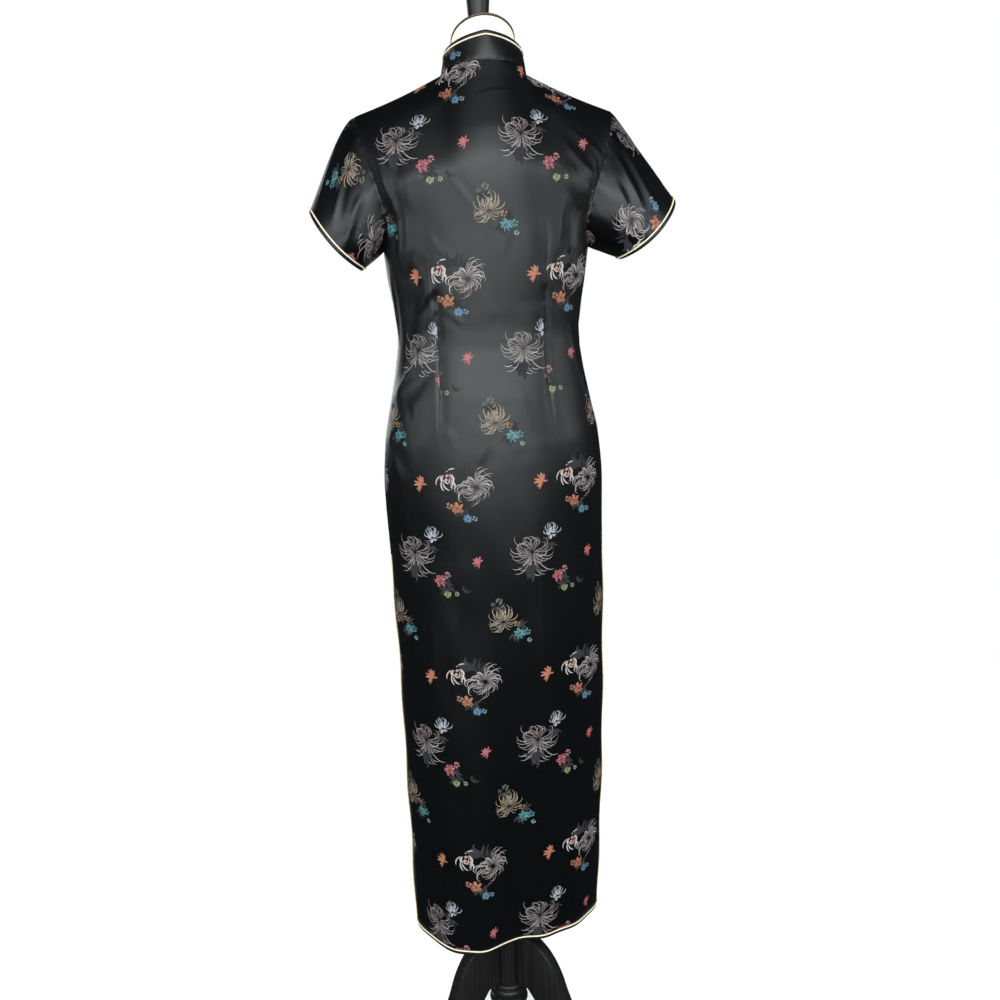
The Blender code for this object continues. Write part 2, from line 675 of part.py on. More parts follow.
def sleeve_grid(which):
    """Outer points of a sleeve, row by row from the armhole to the bound hem."""
    hand = 1.0 if which == "left" else -1.0
    size = dict(zip(SLEEVE_COLUMNS, SLEEVES[which]))
    loop, normals = armhole_loop(hand)
    lengths = np.linalg.norm(np.roll(loop, -1, axis=0) - loop, axis=1)
    run = np.concatenate([[0], np.cumsum(lengths)[:-1]])
    turn = run / lengths.sum() * 2 * math.pi
    outer = np.array([hand * size["outer_x"], 0, size["outer_z"]])
    under = np.array([hand * size["under_x"], 0, size["under_z"]])
    middle, half = (outer + under) / 2, (outer - under) / 2
    cosine, sine = np.cos(turn)[:, None], np.sin(turn)[:, None]
    down_out = unit(np.array([hand * 0.35, 0, -0.94]))
    hem = middle + half * cosine + np.array([0, size["half_depth"], 0]) * sine
    hem = hem + down_out * SLEEVE_SAG * sine**2
    reach = 1 - EDGE_INSET / np.linalg.norm(hem - loop, axis=1)
    s = (np.arange(SLEEVE_ROWS + 1) / SLEEVE_ROWS)[:, None] * reach[None, :]
    s = s[..., None]
    points = loop * (1 - s) + hem * s
    angle = np.minimum(turn, 2 * math.pi - turn)
    cap = np.exp(-((angle / CAP_SPREAD) ** 2))[None, :, None]
    points = points + np.array([hand * size["cap"], 0, 0]) * np.sin(math.pi * np.sqrt(s)) * cap
    fullness = np.sin(math.pi * s) * SLEEVE_FULLNESS
    points = points + np.array([0, 1.0, 0]) * np.sin(turn)[None, :, None] * fullness
    # The first row stands off the armhole by the seam's gap.
    along = unit(np.roll(loop, -1, axis=0) - np.roll(loop, 1, axis=0))
    off = unit(np.cross(along, normals)) * hand
    points[0] = loop + off * SEAM / 2 + np.array([hand, 0, 0]) * SEAM / 2
    return points, normals, turn, hand


def grid_normals(points, hand):
    """Outward normals of a wrapped grid, by differences."""
    around = np.roll(points, -1, axis=1) - np.roll(points, 1, axis=1)
    along = np.empty_like(points)
    along[1:-1] = points[2:] - points[:-2]
    along[0], along[-1] = points[1] - points[0], points[-1] - points[-2]
    return unit(np.cross(around, along)) * hand


def build_sleeve(which):
    """A short set-in sleeve with a bound hem."""
    points, seam, turn, hand = sleeve_grid(which)
    normals = grid_normals(points, -hand)
    shared = ramp(np.cos(turn), -0.2, 0.5)[:, None]
    normals[0] = unit(seam * shared + normals[0] * (1 - shared))
    cloth_wall(f"sleeve_{which}", points, -normals * WALL, "satin", wrap=True, turned=hand > 0)
    edge, normal = points[-1], normals[-1]
    if hand < 0:
        edge, normal = edge[::-1], normal[::-1]
    trim_edge(f"sleeve_{which}_hem", edge, normal, WALL, closed=True)


# ---------------------------------------------------------------------- collar
def collar_height(turn):
    """Height of the collar at an angle from the middle of the back."""
    return smooth_curve((0, math.pi / 2, math.pi), (COLLAR_BACK, COLLAR_SIDE, COLLAR_FRONT), np.abs(turn))


def collar_point(turn, height):
    """Outer face at an angle and a height above the neck seam."""
    base = neck_line(turn)
    base = base + np.array([0, 0, COLLAR_LIFT])
    rise = np.asarray(height)[..., None]
    inwards = unit(np.stack([np.sin(turn), np.cos(turn), np.zeros_like(turn)], axis=-1))
    ridge = COLLAR_RIDGE * np.exp(-((turn / COLLAR_RIDGE_SPREAD) ** 2))[..., None]
    lean = COLLAR_LEAN * rise / COLLAR_BACK
    ridge = ridge * rise / COLLAR_BACK
    points = base - inwards * lean + np.array([0, 1, 0]) * ridge + np.array([0, 0, 1]) * rise
    points[..., 0] += sway(points[..., 2])
    return points


def build_collar():
    """Stand collar, open at the middle of the front, with rounded bound corners."""
    ends = np.array(COLLAR_END_COLUMNS)
    reach = math.pi - COLLAR_END_REACH
    middle = np.linspace(-reach, reach, COLLAR_SEGMENTS + 1)
    bound = (EDGE_INSET + COLLAR_OPENING / 2) / NECK_HALF_WIDTH
    turn = np.concatenate([-math.pi + bound + ends, middle, (math.pi - bound - ends)[::-1]])
    from_end = (math.pi - bound - np.abs(turn)) * NECK_HALF_WIDTH
    full = collar_height(turn) - EDGE_INSET
    radius = COLLAR_CORNER - EDGE_INSET
    past = np.clip(radius - from_end, 0, radius)
    top = full - radius + np.sqrt(radius**2 - past**2)
    rows = np.linspace(0, 1, 3)[:, None]
    outer = collar_point(np.repeat(turn[None, :], 3, axis=0), rows * top[None, :])
    normals = grid_normals_open(outer)
    inward = -normals * COLLAR_WALL
    slope = np.where(np.cos(turn) > 0, NECK_SLOPE_BACK, NECK_SLOPE_FRONT)
    inward[0, :, 2] = slope * inward[0, :, 1]
    cloth_wall("collar", outer, inward, "satin", turned=True)
    edge = np.concatenate([outer[0:1, -1], outer[1:2, -1], outer[-1][::-1], outer[1:2, 0], outer[0:1, 0]])
    normal = np.concatenate([normals[0:1, -1], normals[1:2, -1], normals[-1][::-1], normals[1:2, 0],
                             normals[0:1, 0]])
    trim_edge("collar_edge", edge[::-1], normal[::-1], COLLAR_WALL)


def grid_normals_open(points):
    """Outward normals of an open grid that goes round the neck."""
    across = np.gradient(points, axis=1)
    up = np.gradient(points, axis=0)
    return unit(np.cross(up, across))


# ----------------------------------------------------------------- knot closures
def build_frog(name, centre, direction, normal, half_length):
    """Straight cord closure: a bar with a knot in the middle, as one closed tube."""
    across = unit(np.cross(normal, direction))
    steps = np.linspace(-1, 1, FROG_RINGS)
    width = FROG_CORD * np.sqrt(np.clip(1 - steps**8, 0.02, 1))
    knot = np.clip(1 - (steps * half_length / FROG_KNOT) ** 2, 0, 1) ** 0.5
    radius_across = np.maximum(width, FROG_KNOT * knot)
    radius_out = np.maximum(width * FROG_CORD_FLATNESS, FROG_KNOT * FROG_KNOT_FLATNESS * knot)
    angle = np.arange(FROG_SIDES)[:, None] / FROG_SIDES * 2 * math.pi
    rings = []
    for step, wide, tall in zip(steps, radius_across, radius_out):
        middle = centre + direction * step * half_length + normal * (tall + FROG_CLEARANCE)
        rings.append(middle + np.cos(angle) * across * wide + np.sin(angle) * normal * tall)
    faces = grid_faces(FROG_RINGS, FROG_SIDES, 0, True)
    faces.append(tuple(reversed(range(FROG_SIDES))))
    faces.append(tuple((FROG_RINGS - 1) * FROG_SIDES + j for j in range(FROG_SIDES)))
    add_object(name, np.concatenate(rings), faces, "binding_satin")


def build_frogs():
    """Closures on the collar and along the placket."""
    for name, row in FROGS.items():
        size = dict(zip(FROG_COLUMNS, row))
        u, v = np.array(size["across"]), np.array(size["height"])
        normal = cloth_normal("front", u, v)
        level = unit(np.array([1.0, 0, 0]) - normal * normal[0])
        upward = np.cross(normal, level)
        direction = level * math.cos(size["turn"]) + upward * math.sin(size["turn"])
        centre = cloth("front", u, v) + normal * FROG_LIFT
        build_frog(name, centre, direction, normal, size["half_length"])
    normal = unit(np.array([0, -1.0, 0.12]))
    centre = collar_point(np.array(math.pi), COLLAR_FRONT * COLLAR_FROG_SHARE) + normal * COLLAR_FROG_LIFT
    build_frog("frog_collar", centre, np.array([1.0, 0, 0]), normal, COLLAR_FROG_HALF_LENGTH)


# ------------------------------------------------------------------ dress form
def form_columns():
    """u of the form's columns: every one at the neck, every second one beyond it."""
    neck = np.arange(-NECK_COLUMNS, NECK_COLUMNS + 1)
    beyond = np.append(np.arange(NECK_COLUMNS + 2, HALF_COLUMNS, 2), HALF_COLUMNS)
    return np.concatenate([-beyond[::-1], neck, beyond]) / HALF_COLUMNS


def build_form():
    """Padded torso with a neck, closed and smooth, just inside the cloth."""
    columns = form_columns()
    low = np.linspace(skirt_share(FORM_BASE_Z), 1.0, 10)
    rows = np.concatenate([low, yoke_rows()[1:]])
    u = np.repeat(columns[None, :], len(rows), axis=0)
    v = np.repeat(rows[:, None], len(columns), axis=1)
    z = HEM_Z + np.clip(v, 0, 1) * (UNDERARM_Z - HEM_Z)
    ease = np.interp(z, *np.array(FORM_EASE_TABLE).T)
    ease = ease + (FORM_CLEARANCE - ease) * ramp(v, FORM_TOUCHES_FROM, 2.0)
    neck_pull = NECK_EASE * ramp(v, 1.80, 2.0) * (1 - ramp(np.abs(u), NECK_SHARE, NECK_SHARE + 0.12))
    loops = []
    for side in ("back", "front"):
        normals = cloth_normal(side, u, v)
        shared = (np.abs(u) > 1 - 1e-9) | (v > 2 - 1e-9) & (np.abs(u) > NECK_SHARE - 1e-9)
        normals = np.where(shared[..., None], seam_normal(u, v), normals)
        arm = (np.abs(u) > 1 - 1e-9) & (v > 1)
        points = cloth(side, u, v) - normals * ease[..., None]
        hollow = ARM_PLATE_INSET * np.sin(math.pi * np.clip(v - 1, 0, 1)) ** 0.5
        points[..., 0] -= np.sign(u) * np.where(arm, hollow, 0)
        points[..., 0] += (sway(points[..., 2]) - points[..., 0]) * neck_pull / NECK_HALF_WIDTH
        points[..., 1] -= neck_pull * (1 if side == "back" else -1) * (1 - ramp(np.abs(u), 0, NECK_SHARE))
        loops.append(points)
    back, front = loops
    ring = np.concatenate([back, front[:, ::-1]], axis=1)
    count, around = ring.shape[:2]
    points = list(ring.reshape(-1, 3))
    faces = grid_faces(count, around, 0, True)
    faces.append(tuple(reversed(range(around))))
    width = len(columns)
    neck = [i for i in range(width) if abs(columns[i]) < NECK_SHARE + 1e-9]
    last = (count - 1) * around
    loop = [last + i for i in neck] + [last + width + (width - 1 - i) for i in neck[::-1]]
    loop_points = np.array([points[i] for i in loop])
    turn = np.arctan2(loop_points[:, 0] - sway(NECK_SIDE_Z), loop_points[:, 1] - NECK_SIDE_Y)
    previous = loop
    for level, slope, wide, deep in NECK_RINGS:
        new = neck_ring(turn, level, slope, wide, deep)
        start = len(points)
        points.extend(new)
        current = list(range(start, start + len(loop)))
        for i in range(len(loop)):
            k = (i + 1) % len(loop)
            faces.append((previous[i], previous[k], current[k], current[i]))
        previous = current
    faces.append(tuple(previous))
    made = add_object("form_torso", np.array(points), flipped(faces), "form_jersey")
    weld(made, 2e-5)


def neck_ring(turn, level, slope, wide, deep):
    """Slanted oval of the form's neck, whose middle is at the given height."""
    down_back = deep * np.cos(turn)
    x = wide * np.sin(turn) + sway(level)
    return np.stack([x, RIM_Y + down_back, level + slope * down_back], axis=-1)


def weld(obj, distance):
    """Joins points that coincide and drops the faces that this closes up."""
    work = bmesh.new()
    work.from_mesh(obj.data)
    bmesh.ops.remove_doubles(work, verts=work.verts, dist=distance)
    bmesh.ops.dissolve_degenerate(work, edges=work.edges, dist=1e-6)
    bmesh.ops.recalc_face_normals(work, faces=work.faces)
    work.to_mesh(obj.data)
    work.free()
    obj.data.update()


def build_neck_cap():
    """Thin wooden plate on the slanted neck."""
    turn = np.arange(CAP_SIDES) / CAP_SIDES * 2 * math.pi
    wide, deep = RIM_HALF_WIDTH + CAP_OVERHANG, RIM_HALF_DEPTH + CAP_OVERHANG
    rings = [
        neck_ring(turn, RIM_Z, RIM_SLOPE, wide, deep) + np.array([0, 0, lift])
        for lift in (SEAM, SEAM + CAP_PLATE)
    ]
    faces = grid_faces(2, CAP_SIDES, 0, True)
    faces += [tuple(reversed(range(CAP_SIDES))), tuple(range(CAP_SIDES, 2 * CAP_SIDES))]
    add_object("form_neck_cap", np.concatenate(rings), flipped(faces), "cap_wood")


def build_finial():
    """Turned finial on the axis, cut at its foot to the plate's slant."""
    foot = RIM_Z - RIM_SLOPE * RIM_Y + CAP_PLATE + 2 * SEAM
    turn = np.arange(FINIAL_SIDES) / FINIAL_SIDES * 2 * math.pi
    rings = []
    for height, radius in FINIAL:
        x, y = radius * np.sin(turn), radius * np.cos(turn)
        slope = RIM_SLOPE * (1 - min(1.0, height / FINIAL_LEVEL_FROM))
        rings.append(np.stack([x, y, foot + height + slope * y], axis=-1))
    points = np.concatenate(rings + [np.array([[0, 0, FINIAL_TOP_Z]])])
    faces = grid_faces(len(FINIAL), FINIAL_SIDES, 0, True)
    top = (len(FINIAL) - 1) * FINIAL_SIDES
    faces += [(top + j, top + (j + 1) % FINIAL_SIDES, len(points) - 1) for j in range(FINIAL_SIDES)]
    faces.append(tuple(reversed(range(FINIAL_SIDES))))
    add_object("form_finial", points, flipped(faces), "black_wood")


# ----------------------------------------------------------------------- stand
def lathe(name, profile, sides, finish):
    """Turned solid on the axis from (height, radius) rows, lowest first."""
    turn = np.arange(sides) / sides * 2 * math.pi
    circle = np.stack([np.cos(turn), np.sin(turn)], axis=-1)
    rings = [np.column_stack([circle * radius, np.full(sides, height)]) for height, radius in profile]
    faces = grid_faces(len(profile), sides, 0, True)
    faces.append(tuple(reversed(range(sides))))
    faces.append(tuple((len(profile) - 1) * sides + j for j in range(sides)))
    return add_object(name, np.concatenate(rings), faces, finish)


def build_post():
    """Turned post from the drop between the legs up to the flange under the form."""
    shoulder = POST_TOP_Z - FLANGE_THICK
    top = ((shoulder - 0.010, POST_RADIUS), (shoulder, FLANGE_RADIUS), (POST_TOP_Z, FLANGE_RADIUS))
    lathe("stand_post", POST_PROFILE + top, POST_SIDES, "black_wood")


def even_points(rows, count):
    """Evenly spaced points on the smooth curve through rows of (distance, height)."""
    rows = np.array(rows)
    run = np.concatenate([[0], np.cumsum(np.linalg.norm(np.diff(rows, axis=0), axis=1))])
    at = np.linspace(0, run[-1], count)
    return [(x, z) for x, z in zip(smooth_curve(run, rows[:, 0], at), smooth_curve(run, rows[:, 1], at))]


def leg_outline():
    """Side view of a leg as (distance, height), round from the root's lower corner."""
    root = [(POST_RADIUS + SEAM, LEG_ROOT_LOW), (POST_RADIUS + SEAM, LEG_ROOT_HIGH)]
    top, under = even_points(LEG_TOP_EDGE, LEG_TOP_POINTS), even_points(LEG_UNDER_EDGE, LEG_UNDER_POINTS)
    return root + top + list(LEG_TOE) + under


def build_leg(index, degrees):
    """One sawn, curved leg that butts against the post."""
    outline = leg_outline()
    rings = [np.array([(r, offset, z) for r, z in outline]) for offset in (-LEG_HALF_THICK, LEG_HALF_THICK)]
    count = len(outline)
    faces = grid_faces(2, count, 0, True)
    faces.append(tuple(reversed(range(count))))
    faces.append(tuple(count + j for j in range(count)))
    leg = add_object(f"stand_leg_{index}", np.concatenate(rings), faces, "black_wood", smooth=False)
    leg.rotation_euler[2] = math.radians(90 - degrees) + STAND_TURN
    weld(leg, 1e-6)


def main():
    """Clears the scene and builds every piece on the stand's axis."""
    for old in list(bpy.data.objects):
        bpy.data.objects.remove(old)
    axis = bpy.data.objects.new("stand_axis", None)
    axis.location = (AXIS_X, AXIS_Y, 0)
    bpy.context.scene.collection.objects.link(axis)
    build_back()
    build_front()
    build_underlap()
    for which in SLEEVES:
        build_sleeve(which)
    build_collar()
    build_frogs()
    build_form()
    build_neck_cap()
    build_finial()
    build_post()
    for index, degrees in enumerate(LEG_ANGLES, start=1):
        build_leg(index, degrees)


if __name__ == "__main__":
    main()
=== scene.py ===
"""Long cheongsam of black flowered brocade on a limbless dress form.

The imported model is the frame. Each piece here repeats the sizes of the node
it stands for and adds what the cloth and the woodwork show: folds, woven
flowers, bound and corded edges, and their finishes. Metres, +Z up; the
wearer's left is +X and the front faces -Y.
"""
from __future__ import annotations

import logging
import math
from collections.abc import Callable, Sequence
from dataclasses import astuple, dataclass, field
from enum import Enum
from math import cos, pi, radians, sin

import bmesh
import bpy
import numpy as np
from mathutils import Matrix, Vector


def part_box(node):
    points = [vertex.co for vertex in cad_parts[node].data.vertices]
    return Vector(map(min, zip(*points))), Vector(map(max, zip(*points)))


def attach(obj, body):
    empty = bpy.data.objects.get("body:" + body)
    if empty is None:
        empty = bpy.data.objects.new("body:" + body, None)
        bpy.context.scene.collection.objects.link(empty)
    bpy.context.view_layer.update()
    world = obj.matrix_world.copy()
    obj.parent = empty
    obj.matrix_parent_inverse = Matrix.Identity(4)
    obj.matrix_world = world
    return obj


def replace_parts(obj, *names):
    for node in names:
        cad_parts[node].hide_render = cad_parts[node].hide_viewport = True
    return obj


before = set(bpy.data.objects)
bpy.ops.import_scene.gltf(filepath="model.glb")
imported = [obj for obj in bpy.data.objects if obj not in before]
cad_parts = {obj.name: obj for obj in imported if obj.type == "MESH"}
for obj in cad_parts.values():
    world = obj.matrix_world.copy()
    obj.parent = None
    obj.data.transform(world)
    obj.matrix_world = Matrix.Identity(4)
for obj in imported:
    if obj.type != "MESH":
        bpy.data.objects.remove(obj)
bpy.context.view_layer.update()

Array = np.ndarray
Object = bpy.types.Object
Material = bpy.types.Material
Pair = tuple[float, float]
Triple = tuple[float, float, float]
Rows = tuple[tuple[float, ...], ...]
Color = Triple
TURN = 2 * pi
log = logging.getLogger("cheongsam")


# ---- small tools
def put(name: str, data: bpy.types.ID, axes: Array | None = None, place: Array | None = None) -> Object:
    """Put a new object into the scene.

    Args:
        name: Its name.
        data: Its mesh, lamp or lens.
        axes: Its axes as columns, where it is turned.
        place: Its place, where it has axes.

    Returns:
        The object.
    """
    made = bpy.data.objects.new(name, data)
    bpy.context.scene.collection.objects.link(made)
    if axes is not None:
        made.matrix_world = Matrix([[*row, at] for row, at in zip(axes, place)] + [[0, 0, 0, 1]])
    return made


def unit(vectors: Array) -> Array:
    """Return the vectors at length 1."""
    return vectors / np.maximum(np.linalg.norm(vectors, axis=-1, keepdims=True), 1e-12)


def pack(*values: Array | float) -> Array:
    """Return values side by side along a new last axis, spread to one shape."""
    return np.stack(np.broadcast_arrays(*values), axis=-1)


def ramp(value: Array | float, low: float, high: float) -> Array:
    """Return 0 below low, 1 above high, and the smooth step t*t*(3 - 2*t) between."""
    t = np.clip((value - low) / (high - low), 0.0, 1.0)
    return t * t * (3 - 2 * t)


def smooth_curve(xs: Array, ys: Array, at: Array | float) -> Array:
    """Read a smooth curve that passes through its points without overshoot.

    Each slope is the harmonic mean of the rises beside it, or 0 where they
    change sign, and each span is the cubic that joins two points and slopes.

    Args:
        xs: Places of the points, rising.
        ys: Values at the points.
        at: Places to read.

    Returns:
        The values at those places.
    """
    xs, ys, at = np.asarray(xs, float), np.asarray(ys, float), np.asarray(at, float)
    step = np.diff(xs)
    rise = np.diff(ys) / step
    slope = np.empty_like(ys)
    slope[0], slope[-1] = rise[0], rise[-1]
    left, right = rise[:-1], rise[1:]
    same = left * right > 0
    slope[1:-1] = np.where(same, 2 * left * right / np.where(same, left + right, 1.0), 0.0)
    i = np.clip(np.searchsorted(xs, at, side="right") - 1, 0, len(xs) - 2)
    t = np.clip((at - xs[i]) / step[i], 0.0, 1.0)
    a, b = 2 * t**3 - 3 * t**2 + 1, t**3 - 2 * t**2 + t
    return a * ys[i] + b * step[i] * slope[i] + (1 - a) * ys[i + 1] + (t**3 - t**2) * step[i] * slope[i + 1]


def run_along(points: Array, axis: int) -> Array:
    """Return the length walked from the first point, along one axis of a grid of points."""
    steps = np.linalg.norm(np.diff(points, axis=axis), axis=-1)
    start = np.zeros_like(np.take(steps, [0], axis=axis))
    return np.concatenate([start, np.cumsum(steps, axis=axis)], axis=axis)


@dataclass(frozen=True)
class Table:
    """Rows of named numbers, each column read as a smooth curve of the first."""

    names: str
    rows: Rows

    def column(self, name: str) -> Array:
        """Return one named column."""
        return np.array([row[self.names.split().index(name)] for row in self.rows])

    def at(self, name: str, where: Array | float) -> Array:
        """Return a column's smooth value where the first column has the given value."""
        return smooth_curve(self.column(self.names.split()[0]), self.column(name), where)


# ---- shader maths
def operator(operation: str, turned: bool = False) -> Callable[[Signal, Signal | float], Signal]:
    """Return a method that joins a signal and another value, in either order, by a Math node."""
    return lambda one, other: one.math(operation, *((other, one) if turned else (one, other)))


class Signal:
    """A socket's number that Python operators combine through Math nodes."""

    def __init__(self, nodes: Nodes, socket: bpy.types.NodeSocket) -> None:
        """Wrap an output socket."""
        self.nodes, self.socket = nodes, socket

    def math(self, operation: str, *values: Signal | float) -> Signal:
        """Return a Math node's result for the given values."""
        return self.nodes.node("ShaderNodeMath", {"operation": operation}, dict(enumerate(values)))

    __add__ = __radd__ = operator("ADD")
    __mul__ = __rmul__ = operator("MULTIPLY")
    __sub__, __rsub__ = operator("SUBTRACT"), operator("SUBTRACT", turned=True)
    __pow__ = operator("POWER")

    def sine(self) -> Signal:
        """Return the sine."""
        return self.math("SINE", self)

    def ripple(self, pitch: float) -> Signal:
        """Return a sine of this length, lifted to run from 0 to 1."""
        return (self * (TURN / pitch)).sine() * 0.5 + 0.5

    def step(self, low: float, high: float) -> Signal:
        """Return 0 below low, 1 above high, smooth between."""
        return self.nodes.node("ShaderNodeMapRange", {"interpolation_type": "SMOOTHSTEP"},
                               {"Value": self, "From Min": low, "From Max": high})


class Nodes:
    """The node tree of a material or world, ending in its shader."""

    def __init__(self, owner: Material | bpy.types.World, shader: str = "Principled BSDF") -> None:
        """Give the owner nodes."""
        owner.use_nodes = True
        self.owner, self.tree = owner, owner.node_tree
        self.shader = self.tree.nodes[shader]

    def node(self, kind: str, settings: dict | None = None, inputs: dict | None = None,
             output: str | int = 0) -> Signal:
        """Add one node.

        Args:
            kind: The node's type.
            settings: Its own properties, set first.
            inputs: Values or signals by socket name or number.
            output: The socket that is returned.

        Returns:
            That output as a signal.
        """
        made = self.tree.nodes.new(kind)
        for key, value in (settings or {}).items():
            setattr(made, key, value)
        self.feed(made, inputs or {})
        return Signal(self, made.outputs[output])

    def feed(self, target: bpy.types.Node, inputs: dict) -> None:
        """Set or link a node's inputs from plain values or signals."""
        for key, value in inputs.items():
            if isinstance(value, Signal):
                self.tree.links.new(value.socket, target.inputs[key])
            else:
                target.inputs[key].default_value = value

    def dress(self, **inputs: Signal | float | tuple) -> Material:
        """Feed the shader, with spaces for underscores in the names, and return the owner."""
        self.feed(self.shader, {key.replace("_", " "): value for key, value in inputs.items()})
        return self.owner

    def place(self, source: str = "Object") -> Signal:
        """Return coordinates: Object, or UV for the piece's own map."""
        return self.node("ShaderNodeTexCoord", output=source)

    def stretched(self, place: Signal, scale: Triple) -> Signal:
        """Return scaled coordinates."""
        return self.node("ShaderNodeMapping", None, {"Vector": place, "Scale": scale})

    def noise(self, place: Signal, scale: float, detail: float = 3.0) -> Signal:
        """Return cloudy noise from 0 to 1 at so many cells a metre."""
        return self.node("ShaderNodeTexNoise", None, {"Vector": place, "Scale": scale, "Detail": detail})

    def along(self, place: Signal, axis: str) -> Signal:
        """Return one coordinate."""
        return self.node("ShaderNodeSeparateXYZ", None, {"Vector": place}, axis)

    def blend(self, share: Signal | float, low: Color | Signal, high: Color | Signal) -> Signal:
        """Return a colour between two."""
        pair = [c if isinstance(c, Signal) else (*c, 1) for c in (low, high)]
        return self.node("ShaderNodeMix", {"data_type": "RGBA"}, {0: share, 6: pair[0], 7: pair[1]}, 2)

    def bump(self, height: Signal, depth: float, strength: float = 1.0) -> Signal:
        """Return the normal of a relief so many metres deep."""
        return self.node("ShaderNodeBump", None, {"Height": height, "Strength": strength, "Distance": depth})


# ---- finishes
@dataclass(frozen=True)
class Satin:
    """Satin with fine twill lines and slightly uneven dye and lustre."""

    name: str = "brocade_satin"
    dark: Color = (0.0006, 0.001, 0.0016)
    light: Color = (0.0014, 0.002, 0.0028)
    roughness: Pair = (0.29, 0.38)
    pitch: float = 0.0007
    relief: float = 0.00003

    def make(self, n: Nodes) -> Material:
        """Build the material on the cloth's own flat coordinates."""
        flat = n.place("UV")
        cloud = n.noise(n.stretched(flat, (1, 0.35, 1)), 22)
        slub = n.noise(n.stretched(flat, (1, 14, 1)), 90, 2)
        x, y = n.along(flat, "X"), n.along(flat, "Y")
        twill = (x * 0.5 + y).ripple(self.pitch)
        low, high = self.roughness
        return n.dress(
            Base_Color=n.blend(cloud * 0.7 + slub * 0.3, self.dark, self.light),
            Roughness=(cloud * 0.6 + slub * 0.4) * (high - low) * 1.6 + (low - (high - low) * 0.3),
            Normal=n.bump(twill * 0.6 + slub * 0.8, self.relief),
            Specular_IOR_Level=0.5, Anisotropic=0.7)


@dataclass(frozen=True)
class WovenThread:
    """Floating silk threads of the flowers, coloured by the piece's own attribute."""

    name: str = "flower_thread"
    roughness: Pair = (0.38, 0.55)
    pitch: float = 0.00055

    def make(self, n: Nodes) -> Material:
        """Build the material from the "thread" colours with fine ribs across."""
        flat = n.place("UV")
        rib = n.along(flat, "Y").ripple(self.pitch)
        fleck = n.noise(flat, 900, 2)
        color = n.node("ShaderNodeAttribute", {"attribute_name": "thread"}, output="Color")
        shine = n.node("ShaderNodeAttribute", {"attribute_name": "thread"}, output="Alpha")
        shade = n.blend(rib * 0.25 + fleck * 0.35, color, (0.02, 0.02, 0.022))
        low, high = self.roughness
        return n.dress(Base_Color=shade, Roughness=fleck * (high - low) + low + (1 - shine) * 0.45,
                       Normal=n.bump(rib, 0.00004), Specular_IOR_Level=0.5)


@dataclass(frozen=True)
class BindingSatin:
    """Plain black bias strip: crosswise slubs on its own length."""

    name: str = "binding_satin"
    dark: Color = (0.0024, 0.003, 0.0038)
    light: Color = (0.0048, 0.0056, 0.0066)
    pitch: float = 0.0008

    def make(self, n: Nodes) -> Material:
        """Build the material."""
        flat = n.place("UV")
        slub = n.noise(n.stretched(flat, (240, 30, 1)), 6, 2)
        weave = (n.along(flat, "X") + n.along(flat, "Y")).ripple(self.pitch)
        return n.dress(Base_Color=n.blend(slub, self.dark, self.light), Roughness=slub * 0.14 + 0.34,
                       Normal=n.bump(weave * 0.5 + slub, 0.00005), Specular_IOR_Level=0.5)


@dataclass(frozen=True)
class CordYarn:
    """Cream twisted cord, with painted shade in the grooves between its strands."""

    name: str = "cream_cord"
    # The dark colour is painted shade for the twist's grooves.
    dark: Color = (0.5, 0.4, 0.25)
    light: Color = (0.86, 0.77, 0.6)
    pitch: float = 0.0021

    def make(self, n: Nodes) -> Material:
        """Build the twist from the length along the cord and the turn round it."""
        flat = n.place("UV")
        twist = ((n.along(flat, "X") * (TURN / self.pitch)) + n.along(flat, "Y") * TURN).sine()
        strand = (twist * 0.5 + 0.5) ** 0.6
        fuzz = n.noise(flat, 1400, 2)
        # Light on the strands and dark in the grooves: painted shade; the fuzz is the yarn's own random tone.
        return n.dress(Base_Color=n.blend(strand * 0.8 + fuzz * 0.2, self.dark, self.light),
                       Roughness=fuzz * 0.2 + 0.45, Normal=n.bump(strand, 0.0002))


@dataclass(frozen=True)
class Jersey:
    """Stretched knit cover of the form: fine ribs down the knit, small loops."""

    name: str = "form_jersey"
    dark: Color = (0.68, 0.6, 0.52)
    light: Color = (0.8, 0.73, 0.65)
    loop: float = 0.0011
    rib: float = 0.0013

    def make(self, n: Nodes) -> Material:
        """Build the material on object coordinates, with painted shade between the knit's loops."""
        place = n.place()
        cloud = n.noise(place, 14)
        loops = n.along(place, "Z").ripple(self.loop)
        ribs = (n.along(place, "X") + n.along(place, "Y") * 0.6).ripple(self.rib)
        knit = loops * ribs
        # The cloud is the jersey's own random tone; the knit term is painted shade, darker in the hollows
        # between the loops.
        return n.dress(Base_Color=n.blend(cloud * 0.8 + knit * 0.3, self.dark, self.light),
                       Roughness=cloud * 0.1 + 0.8, Normal=n.bump(knit, 0.00012), Specular_IOR_Level=0.25)


@dataclass(frozen=True)
class Wood:
    """Stained or painted wood with grain along one axis and worn, glossier edges of the grain."""

    name: str
    dark: Color
    light: Color
    roughness: float
    grain: Triple = (1.0, 1.0, 0.08)
    coat: float = 0.3

    def make(self, n: Nodes) -> Material:
        """Build rings bent by noise, then pores, on object coordinates."""
        place = n.stretched(n.place(), self.grain)
        bend = n.noise(place, 30)
        rings = ((n.along(place, "X") + n.along(place, "Y") * 0.4 + bend * 0.02) * 900).sine() * 0.5 + 0.5
        pores = n.noise(place, 420, 2)
        wear = n.noise(n.place(), 60)
        return n.dress(Base_Color=n.blend(rings * 0.5 + pores * 0.5, self.dark, self.light),
                       Roughness=pores * 0.14 + wear * 0.16 + (self.roughness - 0.15),
                       Normal=n.bump(pores * 0.7 + rings * 0.3, 0.0002, 0.6),
                       Coat_Weight=wear * self.coat, Coat_Roughness=0.25)


